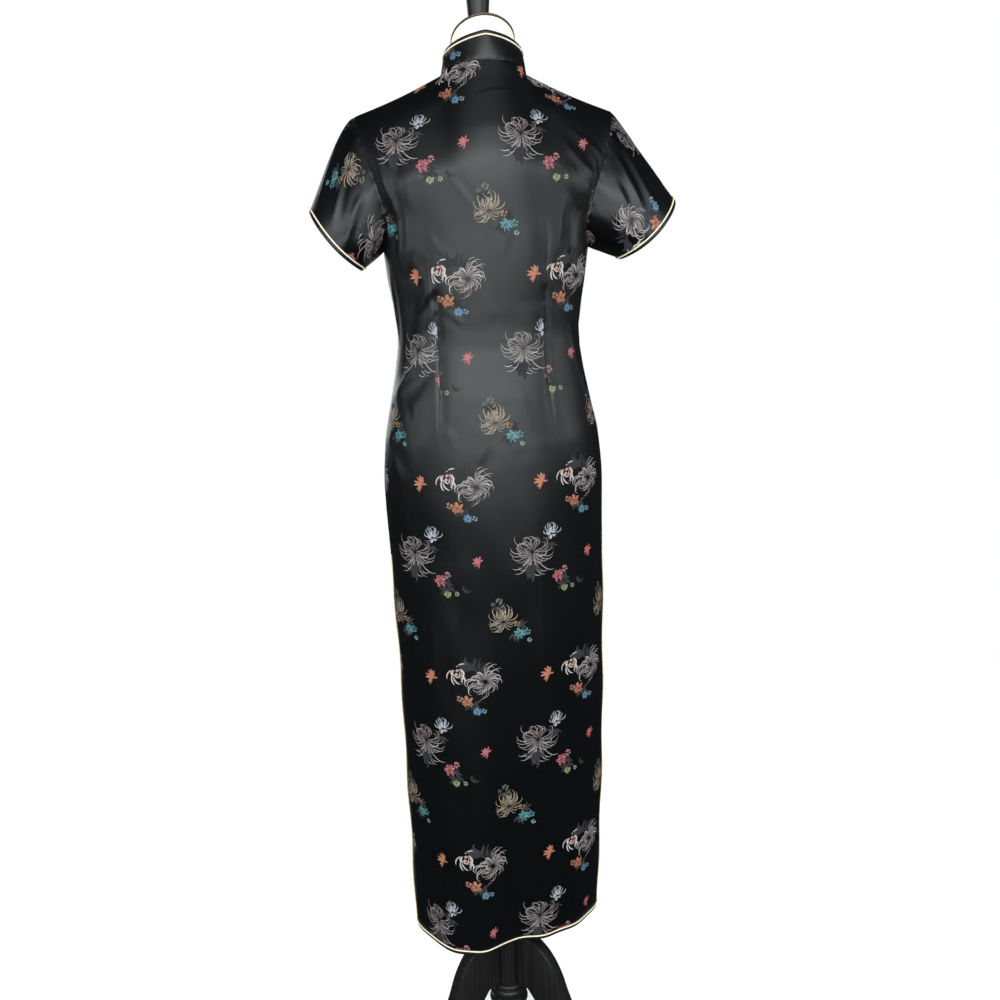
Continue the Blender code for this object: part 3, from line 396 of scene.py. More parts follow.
@dataclass(frozen=True)
class PaleFloor:
    """Plain pale floor with the faintest cloud, which turns to even white far from the stand."""

    name: str = "pale_floor"
    dark: Color = (0.88, 0.88, 0.88)
    light: Color = (0.93, 0.93, 0.93)
    plain_from: float = 0.9
    white_from: float = 2.6

    def make(self, n: Nodes) -> Material:
        """Build the material: the distance from the middle fades the colour out and white light in."""
        place = n.place()
        cloud = n.noise(place, 1.5)
        x, y = n.along(place, "X"), n.along(place, "Y")
        far = ((x * x + y * y) ** 0.5).step(self.plain_from, self.white_from)
        near = n.blend(cloud, self.dark, self.light)
        return n.dress(Base_Color=n.blend(far, near, (0.0, 0.0, 0.0)), Roughness=cloud * 0.1 + 0.8,
                       Emission_Color=n.blend(far, (0.0, 0.0, 0.0), (1.0, 1.0, 1.0)), Emission_Strength=1.0,
                       Specular_IOR_Level=0.0)


class Finish(Enum):
    """The dress's and the form's finishes."""

    SATIN = Satin()
    THREAD = WovenThread()
    BINDING = BindingSatin()
    CORD = CordYarn()
    JERSEY = Jersey()
    RIM_WOOD = Wood("rim_wood", (0.020, 0.010, 0.005), (0.075, 0.038, 0.018), 0.42)
    BLACK_WOOD = Wood("black_wood", (0.0035, 0.0034, 0.0036), (0.011, 0.0105, 0.0105), 0.40)
    FLOOR = PaleFloor()

    def material(self) -> Material:
        """Return the finish's material, made once."""
        name, known = self.value.name, bpy.data.materials
        return known.get(name) or self.value.make(Nodes(known.new(name)))


# ---- making surfaces
class Surface:
    """Points and faces of one piece, gathered grid by grid."""

    def __init__(self) -> None:
        """Start with nothing."""
        self.points: list[Array] = []
        self.faces: list[Array] = []
        self.corners: list[Array] = []
        self.tints: list[Array] = []
        self.count = 0
        self.sealed = 0

    def grid(self, points: Array, uv: Array | None = None, wrap_rows: bool = False,
             wrap_columns: bool = False) -> int:
        """Add the quads of a grid whose rows run up and whose columns run right.

        Args:
            points: Grid of points, without the repeat of a wrapped side.
            uv: Map of the corners, one more row or column on a wrapped side.
            wrap_rows: The last row joins the first.
            wrap_columns: The last column joins the first.

        Returns:
            The number of the grid's first point.
        """
        rows, columns = points.shape[:2]
        i = np.arange(rows - (not wrap_rows))[:, None]
        j = np.arange(columns - (not wrap_columns))[None, :]
        near, far = (i, i + 1), (j, j + 1)
        order = ((0, 0), (0, 1), (1, 1), (1, 0))
        quads = [near[a] % rows * columns + far[b] % columns + self.count for a, b in order]
        corners = None if uv is None else np.stack([uv[near[a], far[b]] for a, b in order], axis=-2)
        self.span(np.stack(quads, axis=-1).reshape(-1, 4), None if uv is None else corners.reshape(-1, 4, 2))
        return self.add(points.reshape(-1, 3))

    def span(self, faces: Array, corners: Array | None = None) -> None:
        """Add faces as rows of point numbers, with the map of their corners where there is one."""
        self.faces.append(faces)
        self.corners.append(np.zeros((*faces.shape, 2)) if corners is None else corners)

    def add(self, points: Array) -> int:
        """Add loose points and return the number of the first."""
        first = self.count
        self.points.append(points)
        self.count += len(points)
        return first

    def fan(self, ring: Array, middle: Array) -> None:
        """Close a ring of point numbers with triangles to a middle point."""
        centre = self.add(middle[None, :])
        following = np.roll(ring, -1)
        self.span(pack(ring, following, centre))

    def seal(self) -> None:
        """Turn the faces added since the last call outwards, by the sign of the volume they hold."""
        points = np.concatenate(self.points)
        volume = 0.0
        for part in self.faces[self.sealed:]:
            for k in range(1, part.shape[1] - 1):
                a, b, c = points[part[:, 0]], points[part[:, k]], points[part[:, k + 1]]
                volume += (a * np.cross(b, c)).sum()
        if volume < 0:
            for i in range(self.sealed, len(self.faces)):
                self.faces[i], self.corners[i] = self.faces[i][:, ::-1], self.corners[i][:, ::-1]
        self.sealed = len(self.faces)

    def wall(self, outer: Array, inner: Array, uv: Array | None = None, wrapped: bool = False) -> None:
        """Add a closed wall between two grids of points.

        Args:
            outer: Outer face, without the repeat of a wrapped side.
            inner: Inner face.
            uv: Map shared by both faces.
            wrapped: The last column joins the first.
        """
        rows, columns = outer.shape[:2]
        self.grid(outer, uv, wrap_columns=wrapped)
        start = self.grid(inner, uv, wrap_columns=wrapped)
        first = start - rows * columns
        self.faces[-1], self.corners[-1] = self.faces[-1][:, ::-1], self.corners[-1][:, ::-1]
        number = first + np.arange(rows * columns).reshape(rows, columns)
        rims = [(number[0], False, wrapped), (number[-1], True, wrapped)]
        if not wrapped:
            rims += [(number[:, 0], True, False), (number[:, -1], False, False)]
        for line, turned, around in rims:
            ahead = np.roll(line, -1) if around else line[1:]
            here = line if around else line[:-1]
            quads = pack(here, here + rows * columns, ahead + rows * columns, ahead)
            self.span(quads[:, ::-1] if turned else quads)
        self.seal()

    def tube(self, rings: Array, lengths: Array, closed: bool) -> None:
        """Add a closed tube of rings that follow one another.

        Args:
            rings: Points, ring by ring.
            lengths: Length walked to each ring.
            closed: The last ring joins the first.
        """
        count, sides = rings.shape[:2]
        lengths = np.append(lengths, lengths[-1] + (lengths[1] - lengths[0])) if closed else lengths
        turns = np.linspace(0, 1, sides + 1)
        uv = pack(lengths[:, None], turns[None, :])
        first = self.grid(rings, uv, wrap_rows=closed, wrap_columns=True)
        if not closed:
            self.fan(first + np.arange(sides)[::-1], rings[0].mean(axis=0))
            self.fan(first + (count - 1) * sides + np.arange(sides), rings[-1].mean(axis=0))
        self.seal()

    def make(self, name: str, finish: Finish, slot: str | None = None, replaces: Sequence[str] = (),
             sharp: float = 40.0, weld: float = 0.0) -> Object:
        """Make the object, with its place in its mesh, and tell the frame about it.

        Args:
            name: The piece's name.
            finish: Its material.
            slot: Any text hangs the piece from the root and hides the nodes that it replaces; the text itself
                is kept nowhere.
            replaces: Nodes that it stands for.
            sharp: Edges bent further than this many degrees stay crisp.
            weld: Points nearer than this become one.

        Returns:
            The object.
        """
        mesh = bpy.data.meshes.new(name)
        faces = [face for part in self.faces for face in part.tolist()]
        mesh.from_pydata(np.concatenate(self.points).tolist(), [], faces)
        layer = mesh.uv_layers.new(name="cloth")
        layer.data.foreach_set("uv", np.concatenate([c.reshape(-1, 2) for c in self.corners]).ravel())
        if self.tints:
            colors = np.concatenate(self.tints)
            shades = mesh.attributes.new("thread", "FLOAT_COLOR", "POINT")
            shades.data.foreach_set("color", colors.ravel())
        if weld:
            work = bmesh.new()
            work.from_mesh(mesh)
            bmesh.ops.remove_doubles(work, verts=work.verts, dist=weld)
            bmesh.ops.dissolve_degenerate(work, edges=work.edges, dist=1e-6)
            bmesh.ops.recalc_face_normals(work, faces=work.faces)
            work.to_mesh(mesh)
            work.free()
        mesh.shade_smooth()
        mesh.set_sharp_from_angle(angle=radians(sharp))
        mesh.materials.append(finish.material())
        piece = put(name, mesh)
        if slot:
            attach(piece, "root")
            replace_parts(piece, *replaces) if replaces else None
        log.info("%s: %d points, %d faces", name, self.count, sum(len(part) for part in self.faces))
        return piece


# ---- the figure's form
class Side(Enum):
    """Back or front of the body."""

    BACK = "back"
    FRONT = "front"

    @property
    def facing(self) -> float:
        """Sign of Y that the side faces."""
        return 1.0 if self is Side.BACK else -1.0


@dataclass(frozen=True)
class Figure:
    """The form that the dress and the torso share, measured from the post's axis."""

    hem_z: float = 0.24
    slit_top_z: float = 0.9
    slit_step: float = 0.001
    wave_top_z: float = 0.93
    underarm_z: float = 1.378
    slit_gap: float = 0.026
    neck_half_width: float = 0.0655
    neck_side: Pair = (-0.008, 1.64)
    neck_back: Pair = (0.058, 1.652)
    neck_front: Pair = (-0.078, 1.585)
    shoulder: Triple = (0.1985, -0.01, 1.583)
    shoulder_dip: float = 0.003
    neck_share: float = 4 / 11
    neck_turn: float = radians(22)
    dart_x: float = 0.083
    dart_depth: float = 0.0022
    dart_half_width: float = 0.006
    dart_heights: tuple[float, ...] = (1.06, 1.19, 1.29, 1.372)
    sections: Table = Table("z half_width back front power", (
        (0.24, 0.16, 0.103, 0.104, 2), (0.4, 0.164, 0.104, 0.105, 2), (0.6, 0.169, 0.107, 0.107, 2),
        (0.8, 0.172, 0.112, 0.11, 2), (0.9, 0.1745, 0.117, 0.112, 2), (1.01, 0.1765, 0.1215, 0.116, 2.12),
        (1.08, 0.172, 0.123, 0.118, 2.2), (1.15, 0.159, 0.113, 0.115, 2.2),
        (1.2, 0.149, 0.101, 0.108, 2.2), (1.245, 0.1438, 0.093, 0.103, 2.2),
        (1.29, 0.148, 0.0975, 0.11, 2.2), (1.335, 0.155, 0.1035, 0.1235, 2.25),
        (1.36, 0.158, 0.1068, 0.1272, 2.28), (1.378, 0.16, 0.109, 0.128, 2.3)))
    armhole: Table = Table("share x back front", (
        (0, 0.16, 0, 0), (0.07, 0.156, 0.022, -0.026), (0.165, 0.1545, 0.041, -0.048),
        (0.295, 0.1585, 0.053, -0.062), (0.44, 0.1665, 0.056, -0.066), (0.56, 0.1745, 0.051, -0.062),
        (0.74, 0.1865, 0.035, -0.046), (0.87, 0.194, 0.017, -0.03), (1, 0.1985, -0.01, -0.01)))
    spine: Table = Table("share back front", (
        (0, 0.109, -0.128), (0.15, 0.1135, -0.1235), (0.3, 0.1155, -0.117), (0.45, 0.113, -0.1095),
        (0.63, 0.103, -0.099), (0.81, 0.083, -0.0885), (1, 0.058, -0.078)))
    sway_line: Table = Table("z x", (
        (0.24, -0.003), (0.45, -0.005), (0.65, -0.0058), (0.85, -0.004), (1, -0.001), (1.3, 0),
        (1.45, -0.002), (1.6, -0.005), (1.72, -0.006)))
    back_waves: Rows = (
        (0.101, 0.034, 0.03), (0.053, 0.03, 0.024), (-0.017, 0.03, -0.012), (-0.082, 0.03, -0.012),
        (-0.144, 0.036, -0.022))
    front_waves: Rows = (
        (0.09, 0.032, 0.014), (0.02, 0.04, -0.012), (-0.055, 0.04, 0.02), (-0.15, 0.036, 0.012))

    def share(self, z: float | Array) -> Array:
        """Return v of a height below the underarm: 0 at the hem, 1 at the underarm."""
        return (z - self.hem_z) / (self.underarm_z - self.hem_z)

    def height(self, v: Array) -> Array:
        """Return the height of v, up to the underarm."""
        return self.hem_z + np.clip(v, 0, 1) * (self.underarm_z - self.hem_z)

    def sway(self, z: Array | float) -> Array:
        """Return how far aside the middle of the body stands at a height."""
        return self.sway_line.at("x", z)

    def neck_line(self, turn: Array) -> Array:
        """Return the neckline: a half ellipse behind and one before, each on its own slope."""
        ends = [np.where(np.cos(turn) > 0, back - side, side - front) for back, side, front
                in zip(self.neck_back, self.neck_side, self.neck_front)]
        y, z = (side + np.cos(turn) * end for side, end in zip(self.neck_side, ends))
        return pack(self.neck_half_width * np.sin(turn), y, z)

    def top_edge(self, side: Side, across: Array) -> Array:
        """Return the neckline and then the slightly dipped shoulder seam, middle to edge."""
        turn = np.clip(across / self.neck_share, 0, 1) * pi / 2
        neck = self.neck_line(turn if side is Side.BACK else pi - turn)
        along = np.clip((across - self.neck_share) / (1 - self.neck_share), 0, 1)[..., None]
        start = np.array([self.neck_half_width, *self.neck_side])
        dip = np.array([0, 0, self.shoulder_dip]) * np.sin(pi * along)
        seam = start + (np.array(self.shoulder) - start) * along - dip
        return np.where((across > self.neck_share)[..., None], seam, neck)

    def turn_at(self, across: Array) -> Array:
        """Return the angle round the section: the neck's share first, then the rest."""
        inner = np.minimum(across, self.neck_share) / self.neck_share * self.neck_turn
        rest = np.maximum(across - self.neck_share, 0) / (1 - self.neck_share)
        return inner + rest * (pi / 2 - self.neck_turn)

    def cloth(self, side: Side, u: Array, v: Array) -> Array:
        """Return the outer face of the back or front.

        Below the underarm a row is a half superellipse, x = w sin^p and
        y = d cos^p, with the skirt's waves as bells that grow to the hem and
        a dart on each side. Above it each row spans from the middle line to
        the armhole and turns little by little into the neckline and shoulder.

        Args:
            side: Back or front.
            u: -1 at the wearer's right edge to 1 at the left.
            v: 0 at the hem, 1 at the underarm, 2 at the neckline.
        """
        u, v = np.broadcast_arrays(np.asarray(u, float), np.asarray(v, float))
        hand, across, facing = np.where(u < 0, -1.0, 1.0), np.abs(u), side.facing
        z = self.height(v)
        depth = self.sections.at(side.value, z)
        opened = self.slit_gap * ramp(self.slit_top_z - z, 0, self.slit_top_z - self.hem_z)
        turn = self.turn_at(across) * (1 - (side is Side.FRONT) * opened / depth / (pi / 2))
        power = 2 / self.sections.at("power", z)
        share_x, share_y = np.sin(turn) ** power, np.maximum(np.cos(turn), 0) ** power
        x = hand * self.sections.at("half_width", z) * share_x
        y = facing * depth * share_y
        fall = np.clip((self.wave_top_z - z) / (self.wave_top_z - self.hem_z), 0, 1) ** 1.5
        for middle, spread, out in self.back_waves if side is Side.BACK else self.front_waves:
            y = y + facing * out * fall * np.exp(-(((x - middle) / spread) ** 2))
        low, full, until, high = self.dart_heights
        sink = self.dart_depth * ramp(z, low, full) * (1 - ramp(z, until, high))
        y = y - facing * sink * np.exp(-(((np.abs(x) - self.dart_x) / self.dart_half_width) ** 2))
        lower = pack(x, y, z)
        f = np.clip(v - 1, 0, 1)
        edge = self.top_edge(side, across)
        reach, _, top = self.shoulder
        keep = (1 - f**2.2) ** (1 - 0.47 * ramp(across, 0.1 * self.neck_share, 2 * self.neck_share))
        neck_y = (self.neck_back if side is Side.BACK else self.neck_front)[0]
        top_y = (edge[..., 1] - self.shoulder[1]) / (neck_y - self.shoulder[1])
        straight = self.armhole.rows[0][1] + (reach - self.armhole.rows[0][1]) * f
        width = straight + (self.armhole.at("x", f) - straight) * share_x**5
        row_x = (share_x * (1 - f) + edge[..., 0] / reach * f) * width
        middle = share_y * keep + top_y * (1 - keep)
        arm_y = self.armhole.at(side.value, f) * (1 - middle) ** (3 - 2 * ramp(f, 0, 0.45))
        row_z = self.underarm_z + (edge[..., 2] - self.underarm_z) * f
        upper = pack(hand * row_x, self.spine.at(side.value, f) * middle + arm_y, row_z)
        points = np.where((v > 1)[..., None], upper, lower)
        points[..., 0] += self.sway(points[..., 2])
        return points

    def normal(self, side: Side, u: Array, v: Array) -> Array:
        """Return the outward unit normal of that face, by differences."""
        u, v = np.broadcast_arrays(np.asarray(u, float), np.asarray(v, float))
        step = 2e-3
        across = self.cloth(side, np.clip(u + step, -1, 1), v) - self.cloth(side, np.clip(u - step, -1, 1), v)
        up = self.cloth(side, u, np.clip(v + step, 0, 2)) - self.cloth(side, u, np.clip(v - step, 0, 2))
        return -side.facing * unit(np.cross(across, up))


FIGURE = Figure()
MM = 0.001
SEAM = 0.0004
BINDING_WIDTH = 0.0050
EDGE_INSET = SEAM + BINDING_WIDTH
CLOTH_THICKNESS = 0.0008
TURNED_EDGE = 0.002


# ---- the drape
@dataclass(frozen=True)
class Crease:
    """Soft fold between two flat places, in millimetres: a ridge, or a trough of negative height."""

    x0: float
    y0: float
    x1: float
    y1: float
    width: float
    height: float
    bow: float = 0.0

    def offset(self, x: Array, y: Array) -> Array:
        """Return how far out the cloth stands: a crest less a wide bell beside it, fading at both ends."""
        x0, y0, x1, y1, width, height, bow = (value * MM for value in astuple(self))
        dx, dy = x1 - x0, y1 - y0
        length = math.hypot(dx, dy)
        t = ((x - x0) * dx + (y - y0) * dy) / length**2
        side = ((y - y0) * dx - (x - x0) * dy) / length
        s = (side - bow * 4 * np.clip(t, 0, 1) * (1 - np.clip(t, 0, 1))) / width
        fade = ramp(t, -0.15, 0.35) * (1 - ramp(t, 0.65, 1.15))
        crest = np.exp(-1.5 * np.sqrt(s * s + 0.05))
        return 1.25 * height * fade * (crest - 0.40 * np.exp(-(((s - 1.7) / 1.1) ** 2)))


def cloud(x: Array, y: Array, seed: int) -> Array:
    """Return smooth seeded noise from 0 to 1 with a cell of 1, joined by smooth steps."""
    lattice = np.random.default_rng(seed).uniform(0, 1, (64, 64))
    i, j = np.floor(x).astype(int), np.floor(y).astype(int)
    s, t = ramp(x - i, 0, 1), ramp(y - j, 0, 1)
    a, b = lattice[i % 64, j % 64], lattice[(i + 1) % 64, j % 64]
    c, d = lattice[i % 64, (j + 1) % 64], lattice[(i + 1) % 64, (j + 1) % 64]
    return (a * (1 - s) + b * s) * (1 - t) + (c * (1 - s) + d * s) * t


@dataclass(frozen=True)
class Rumple:
    """Oval patch of small crumpled facets, in millimetres of the flat cloth."""

    x: float
    y: float
    wide: float
    tall: float
    depth: float

    def offset(self, x: Array, y: Array) -> Array:
        """Return folded noise, sharp along its valleys, fading out from the middle of the oval."""
        x0, y0, wide, tall, depth = (value * MM for value in astuple(self))
        fade = np.exp(-(((x - x0) / wide) ** 2) - ((y - y0) / tall) ** 2)
        bend = 0.7 * cloud(x / 0.045 + 9, y / 0.060 + 4, 3)
        coarse = np.abs(2 * cloud(x / 0.026 + y / 0.070 + bend + 11, y / 0.044 - x / 0.090 + 7, 1) - 1)
        fine = np.abs(2 * cloud(x / 0.013 - y / 0.050 + bend + 5, y / 0.024 + 3, 2) - 1)
        return depth * fade * (coarse + 0.35 * fine - 0.6)


def folds(*rows: tuple[float, ...]) -> tuple[Crease | Rumple, ...]:
    """Return a Rumple for each row of five numbers and a Crease for each longer one."""
    return tuple(Rumple(*row) if len(row) == 5 else Crease(*row) for row in rows)


@dataclass(frozen=True)
class Drape:
    """The creases of one piece and the cloth's low unevenness."""

    creases: tuple[Crease | Rumple, ...] = ()
    uneven: float = 0.0006
    shift: float = 0.0

    def offset(self, x: Array, y: Array) -> Array:
        """Return the sum of the creases and of a few long, crossing sine waves."""
        low = 0.5 * np.sin(TURN * (x / 0.23 + y / 0.61) + 0.4 + self.shift)
        low = low + 0.3 * np.sin(TURN * (x / 0.11 - y / 0.27) + 1.9 + 2 * self.shift)
        low = low + 0.2 * np.sin(TURN * (x / 0.067 + y / 0.17) + 2.6 - self.shift)
        return self.uneven * low + sum(crease.offset(x, y) for crease in self.creases)


@dataclass(frozen=True)
class Dart:
    """Sewn dart from its foot over the waist to its tip, and how much cloth it takes in at the waist."""

    foot: Pair
    waist: Pair
    tip: Pair
    take: float
    rise: float = 0.0012
    rise_within: float = 0.0028
    level_within: float = 0.016

    @property
    def hand(self) -> float:
        """Sign of the side it is on."""
        return math.copysign(1.0, self.waist[0])

    def line(self, y: Array) -> Array:
        """Return where the stitching stands at heights."""
        xs, ys = np.array([self.foot, self.waist, self.tip]).T
        return smooth_curve(ys, xs, np.clip(y, ys[0], ys[-1]))

    def share(self, y: Array) -> Array:
        """Return how much is taken in: from nothing at the points straight to all of it at the waist."""
        return np.interp(y, [self.foot[1], self.waist[1], self.tip[1]], [0.0, 1.0, 0.0])

    def offset(self, x: Array, y: Array) -> Array:
        """Return the relief: the cloth steps up past the stitching, which lies in a narrow groove."""
        away = self.hand * (x - self.line(y))
        step = self.rise * np.tanh(away / self.rise_within) * np.exp(-np.abs(away) / self.level_within)
        return self.share(y) ** 0.4 * (step + pucker(away, y, 0.0014, 0.0018))

    def seam(self, cloth: "ClothGrid", name: str) -> Object:
        """Return the folded edge along the stitching: a narrow rise over a sharp drop."""
        y = np.linspace(self.foot[1], self.tip[1], 120)[:, None]
        aside = np.array([-0.0036, -0.0016, -0.0003, 0.0003, 0.0020]) * (0.3 + 0.7 * self.share(y) ** 0.3)
        lift = np.array([-0.0001, 0.0001, -0.0001, 0.0007, -0.0001]) * self.share(y) ** 0.3
        x, y = self.line(y) + self.hand * aside, y + 0 * aside
        i, j, _ = cloth.find(x.ravel(), y.ravel())
        rise = unit(cloth.read(cloth.normals, i, j)) * (lift.ravel() + 0.00008)[:, None]
        points = (cloth.read(cloth.points, i, j) + rise).reshape(*x.shape, 3)
        way = slice(None, None, int(self.hand))
        fold = ClothGrid(points[:, way], x[:, way], y[:, way])
        return fold.shell(0.0003).make(name, Finish.SATIN, "brocade")

    def tucked(self, x: Array, y: Array) -> tuple[Array, Array]:
        """Return where places of the cut cloth lie once it is sewn, and which of them still show."""
        past, take = self.hand * (x - self.line(y)), self.take * self.share(y)
        return x - self.hand * np.clip(past, 0, take), (past <= 0) | (past >= take)


def pucker(distance: Array, along: Array, depth: float = 0.0008, reach: float = 0.0045) -> Array:
    """Return how a sewn seam pulls in: it decays with distance, uneven along the stitches."""
    uneven = 1 + 0.45 * np.sin(TURN * along / 0.019 + 2.2 * np.sin(along / 0.041))
    return -depth * np.exp(-np.abs(distance) / reach) * uneven


@dataclass
class ClothGrid:
    """Fine grid of a piece's outer face, with its flat coordinates across and up.

    Rows run up and columns to the viewer's right; a wrapped grid ends with its first column again.
    """

    points: Array
    across: Array
    up: Array
    wrapped: bool = False
    normals: Array = field(init=False)

    def __post_init__(self) -> None:
        """Work out the outward normals."""
        points = self.points
        if self.wrapped:
            padded = np.concatenate([points[:, -2:-1], points, points[:, 1:2]], axis=1)
            right = padded[:, 2:] - padded[:, :-2]
        else:
            right = np.gradient(points, axis=1)
        self.normals = unit(np.cross(right, np.gradient(points, axis=0)))

    def raised(self, offset: Array) -> ClothGrid:
        """Return the grid moved along its normals."""
        if self.wrapped:
            blend = (offset[:, :1] + offset[:, -1:]) / 2
            offset = np.concatenate([blend, offset[:, 1:-1], blend], axis=1)
        return ClothGrid(self.points + self.normals * offset[..., None], self.across, self.up, self.wrapped)

    def shell(self, thickness: float = CLOTH_THICKNESS) -> Surface:
        """Return the cloth as a thin closed wall, mapped by its flat coordinates."""
        last = -1 if self.wrapped else None
        outer, normals = self.points[:, :last], self.normals[:, :last]
        made = Surface()
        made.wall(outer, outer - normals * thickness, pack(self.across, self.up), self.wrapped)
        return made

    def declare(self, cloth: Object, held: str, rests_on: list[str], pieces: list[Object],
                width: float, length: float) -> None:
        """Work out the size that the cloth was cut to, with its turned edge, and pass it nowhere.

        Args:
            cloth: The piece of cloth; not used.
            held: How it is held; not used.
            rests_on: Names of the pieces under it; not used.
            pieces: What is sewn to it or woven into it; not used.
            width: Its flat width without the turned edge.
            length: Its flat length without it.
        """
        width, length = float(width) + TURNED_EDGE, float(length) + TURNED_EDGE

    @staticmethod
    def read(values: Array, i: Array, j: Array) -> Array:
        """Return values at broken row and column numbers, straight between the four around."""
        i0 = np.clip(np.floor(i).astype(int), 0, values.shape[0] - 2)
        j0 = np.clip(np.floor(j).astype(int), 0, values.shape[1] - 2)
        s, t = i - i0, j - j0
        if values.ndim == 3:
            s, t = s[..., None], t[..., None]
        low = values[i0, j0] * (1 - t) + values[i0, j0 + 1] * t
        return low * (1 - s) + (values[i0 + 1, j0] * (1 - t) + values[i0 + 1, j0 + 1] * t) * s

    def find(self, x: Array, y: Array) -> tuple[Array, Array, Array]:
        """Find flat places on the grid by Newton steps.

        Args:
            x: Places across.
            y: Places up.

        Returns:
            Broken row numbers, broken column numbers and which places lie on the piece.
        """
        rows, columns = self.across.shape
        slopes = (*np.gradient(self.across), *np.gradient(self.up))
        i = np.interp(y, self.up[:, columns // 2], np.arange(rows))
        j = np.full_like(i, columns / 2)
        for _ in range(14):
            x_i, x_j, y_i, y_j = (self.read(slope, i, j) for slope in slopes)
            left_x, left_y = x - self.read(self.across, i, j), y - self.read(self.up, i, j)
            turn = x_i * y_j - x_j * y_i
            turn = np.where(np.abs(turn) < 1e-9, -1e-9, turn)
            i = np.clip(i + np.clip((y_j * left_x - x_j * left_y) / turn, -25, 25), -0.5, rows - 0.5)
            j = np.clip(j + np.clip((x_i * left_y - y_i * left_x) / turn, -25, 25), -0.5, columns - 0.5)
        miss = np.hypot(self.read(self.across, i, j) - x, self.read(self.up, i, j) - y)
        inside = (i >= 0) & (i <= rows - 1) & (j >= 0) & (j <= columns - 1) & (miss < 0.0006)
        return i, j, inside


# ---- the woven flowers
@dataclass(frozen=True)
class Petals:
    """One ring of thread petals, lengths in millimetres and angles in degrees from the right."""

    count: int
    start: float
    sweep: float
    inner: float
    length: float
    width: float
    curl: float
    hook: float
    root: Color
    tip: Color
    uneven: float = 0.2
    lift: float = 0.0
    toward: float | None = None
    gloss: float = 1.0
    lean: float = 0.0


class Chart:
    """Flat drawing, in millimetres, of woven flowers as ribbons of coloured thread."""

    def __init__(self, seed: int) -> None:
        """Start an empty drawing; the seed fixes the small differences between petals."""
        self.points: list[Array] = []
        self.faces: list[Array] = []
        self.colors: list[Array] = []
        self.count = 0
        self.random = np.random.default_rng(seed)

    def petals(self, x: float, y: float, ring: Petals, steps: int = 8) -> None:
        """Draw a ring of petals: ribbons that leave a small circle and curl.

        A heading starts outwards, turned by the lean, and turns on evenly for
        the curl and by the cube of the length for the hook, the shorter way to
        where the tips seek. The width is a power of a half sine.

        Args:
            x: Middle, to the right.
            y: Middle, upwards.
            ring: The petals.
            steps: Sections along a petal.
        """
        count, rng = ring.count, self.random
        jitter = rng.uniform(-1, 1, (7, count))
        turn = np.radians(ring.start + ring.sweep * (np.arange(count) + 0.5 + jitter[0] * 0.4) / count)
        seek = turn + jitter[1] if ring.toward is None else radians(ring.toward) + 0.25 * jitter[1]
        hand = np.where(np.sin(seek - turn) < 0, -1.0, 1.0)
        length = ring.length * (1 + ring.uneven * jitter[2])
        t = np.linspace(0, 1, steps + 1)[None, :]
        bend = hand * (1 + 0.4 * jitter[3])
        heading = turn[:, None] + bend[:, None] * (ring.lean + ring.curl * t + ring.hook * t**3)
        ahead = pack(np.cos(heading), np.sin(heading))
        run = (np.cumsum(ahead, axis=1) - ahead[:, :1]) * (length / steps)[:, None, None]
        middle = [x, y] + ring.inner * pack(np.cos(turn), np.sin(turn))[:, None] + run
        half = ring.width / 2 * (1 + 0.2 * jitter[4])[:, None] * np.sin(pi * (0.12 + 0.84 * t)) ** 0.8
        aside = pack(-ahead[..., 1], ahead[..., 0]) * half[..., None]
        lift = (0.12 + ring.lift + 0.02 * jitter[5])[:, None] + 0 * t
        flat = np.stack([middle + aside, middle, middle - aside], axis=2)
        height = np.stack([lift, lift + half * 0.12, lift], axis=2)
        points = np.concatenate([flat, height[..., None]], axis=-1)
        share = t[..., None]
        shade = np.array(ring.root) * (1 - share) + np.array(ring.tip) * share
        shade = shade * (1 + 0.22 * jitter[6])[:, None, None]
        # Each ribbon's edges take half its colour: painted shade on the sides of the rounded strand, which
        # also draws the dark lines between petals.
        colors = np.stack([shade * 0.5, shade, shade * 0.5], axis=2)
        k, n = np.arange(steps), np.arange(count)[:, None]
        base = (n * (steps + 1) + k) * 3
        quads = pack(base, base + 1, base + 4, base + 3)
        quads = np.stack([quads, quads + 1], axis=2)
        colors = np.clip(colors, 0, 1).reshape(-1, 3)
        self.points.append(points.reshape(-1, 3))
        self.colors.append(np.column_stack([colors, np.full(len(colors), ring.gloss)]))
        self.faces.append(quads.reshape(-1, 4) + self.count)
        self.count += len(colors)

    def rings(self, x: float, y: float, steps: int, *rings: tuple) -> None:
        """Draw rings of petals about one middle, each given by its Petals values in order."""
        for ring in rings:
            self.petals(x, y, Petals(*ring), steps)

    def leaves(self, x: float, y: float, start: float, sweep: float, count: int, length: float,
               width: float = 6) -> None:
        """Draw a spray of dull lobed leaves."""
        pale = tuple(1.8 * c for c in LEAF)
        dull = (LEAF, pale, 0.3, -0.03, None, 0)
        self.rings(x, y, 5, (count, start, sweep, 2, length, width, 0.3, 0.5, *dull))
        lobes = (0.3 * length, 0.45 * length, 0.45 * width)
        self.rings(x, y, 4, (3 * count, start, sweep, *lobes, 0.9, 0.4, LEAF, pale, 0.4, -0.02, None, 0))

    def done(self) -> tuple[Array, Array, Array]:
        """Return all points in metres, quads and colours."""
        return np.concatenate(self.points) * MM, np.concatenate(self.faces), np.concatenate(self.colors)


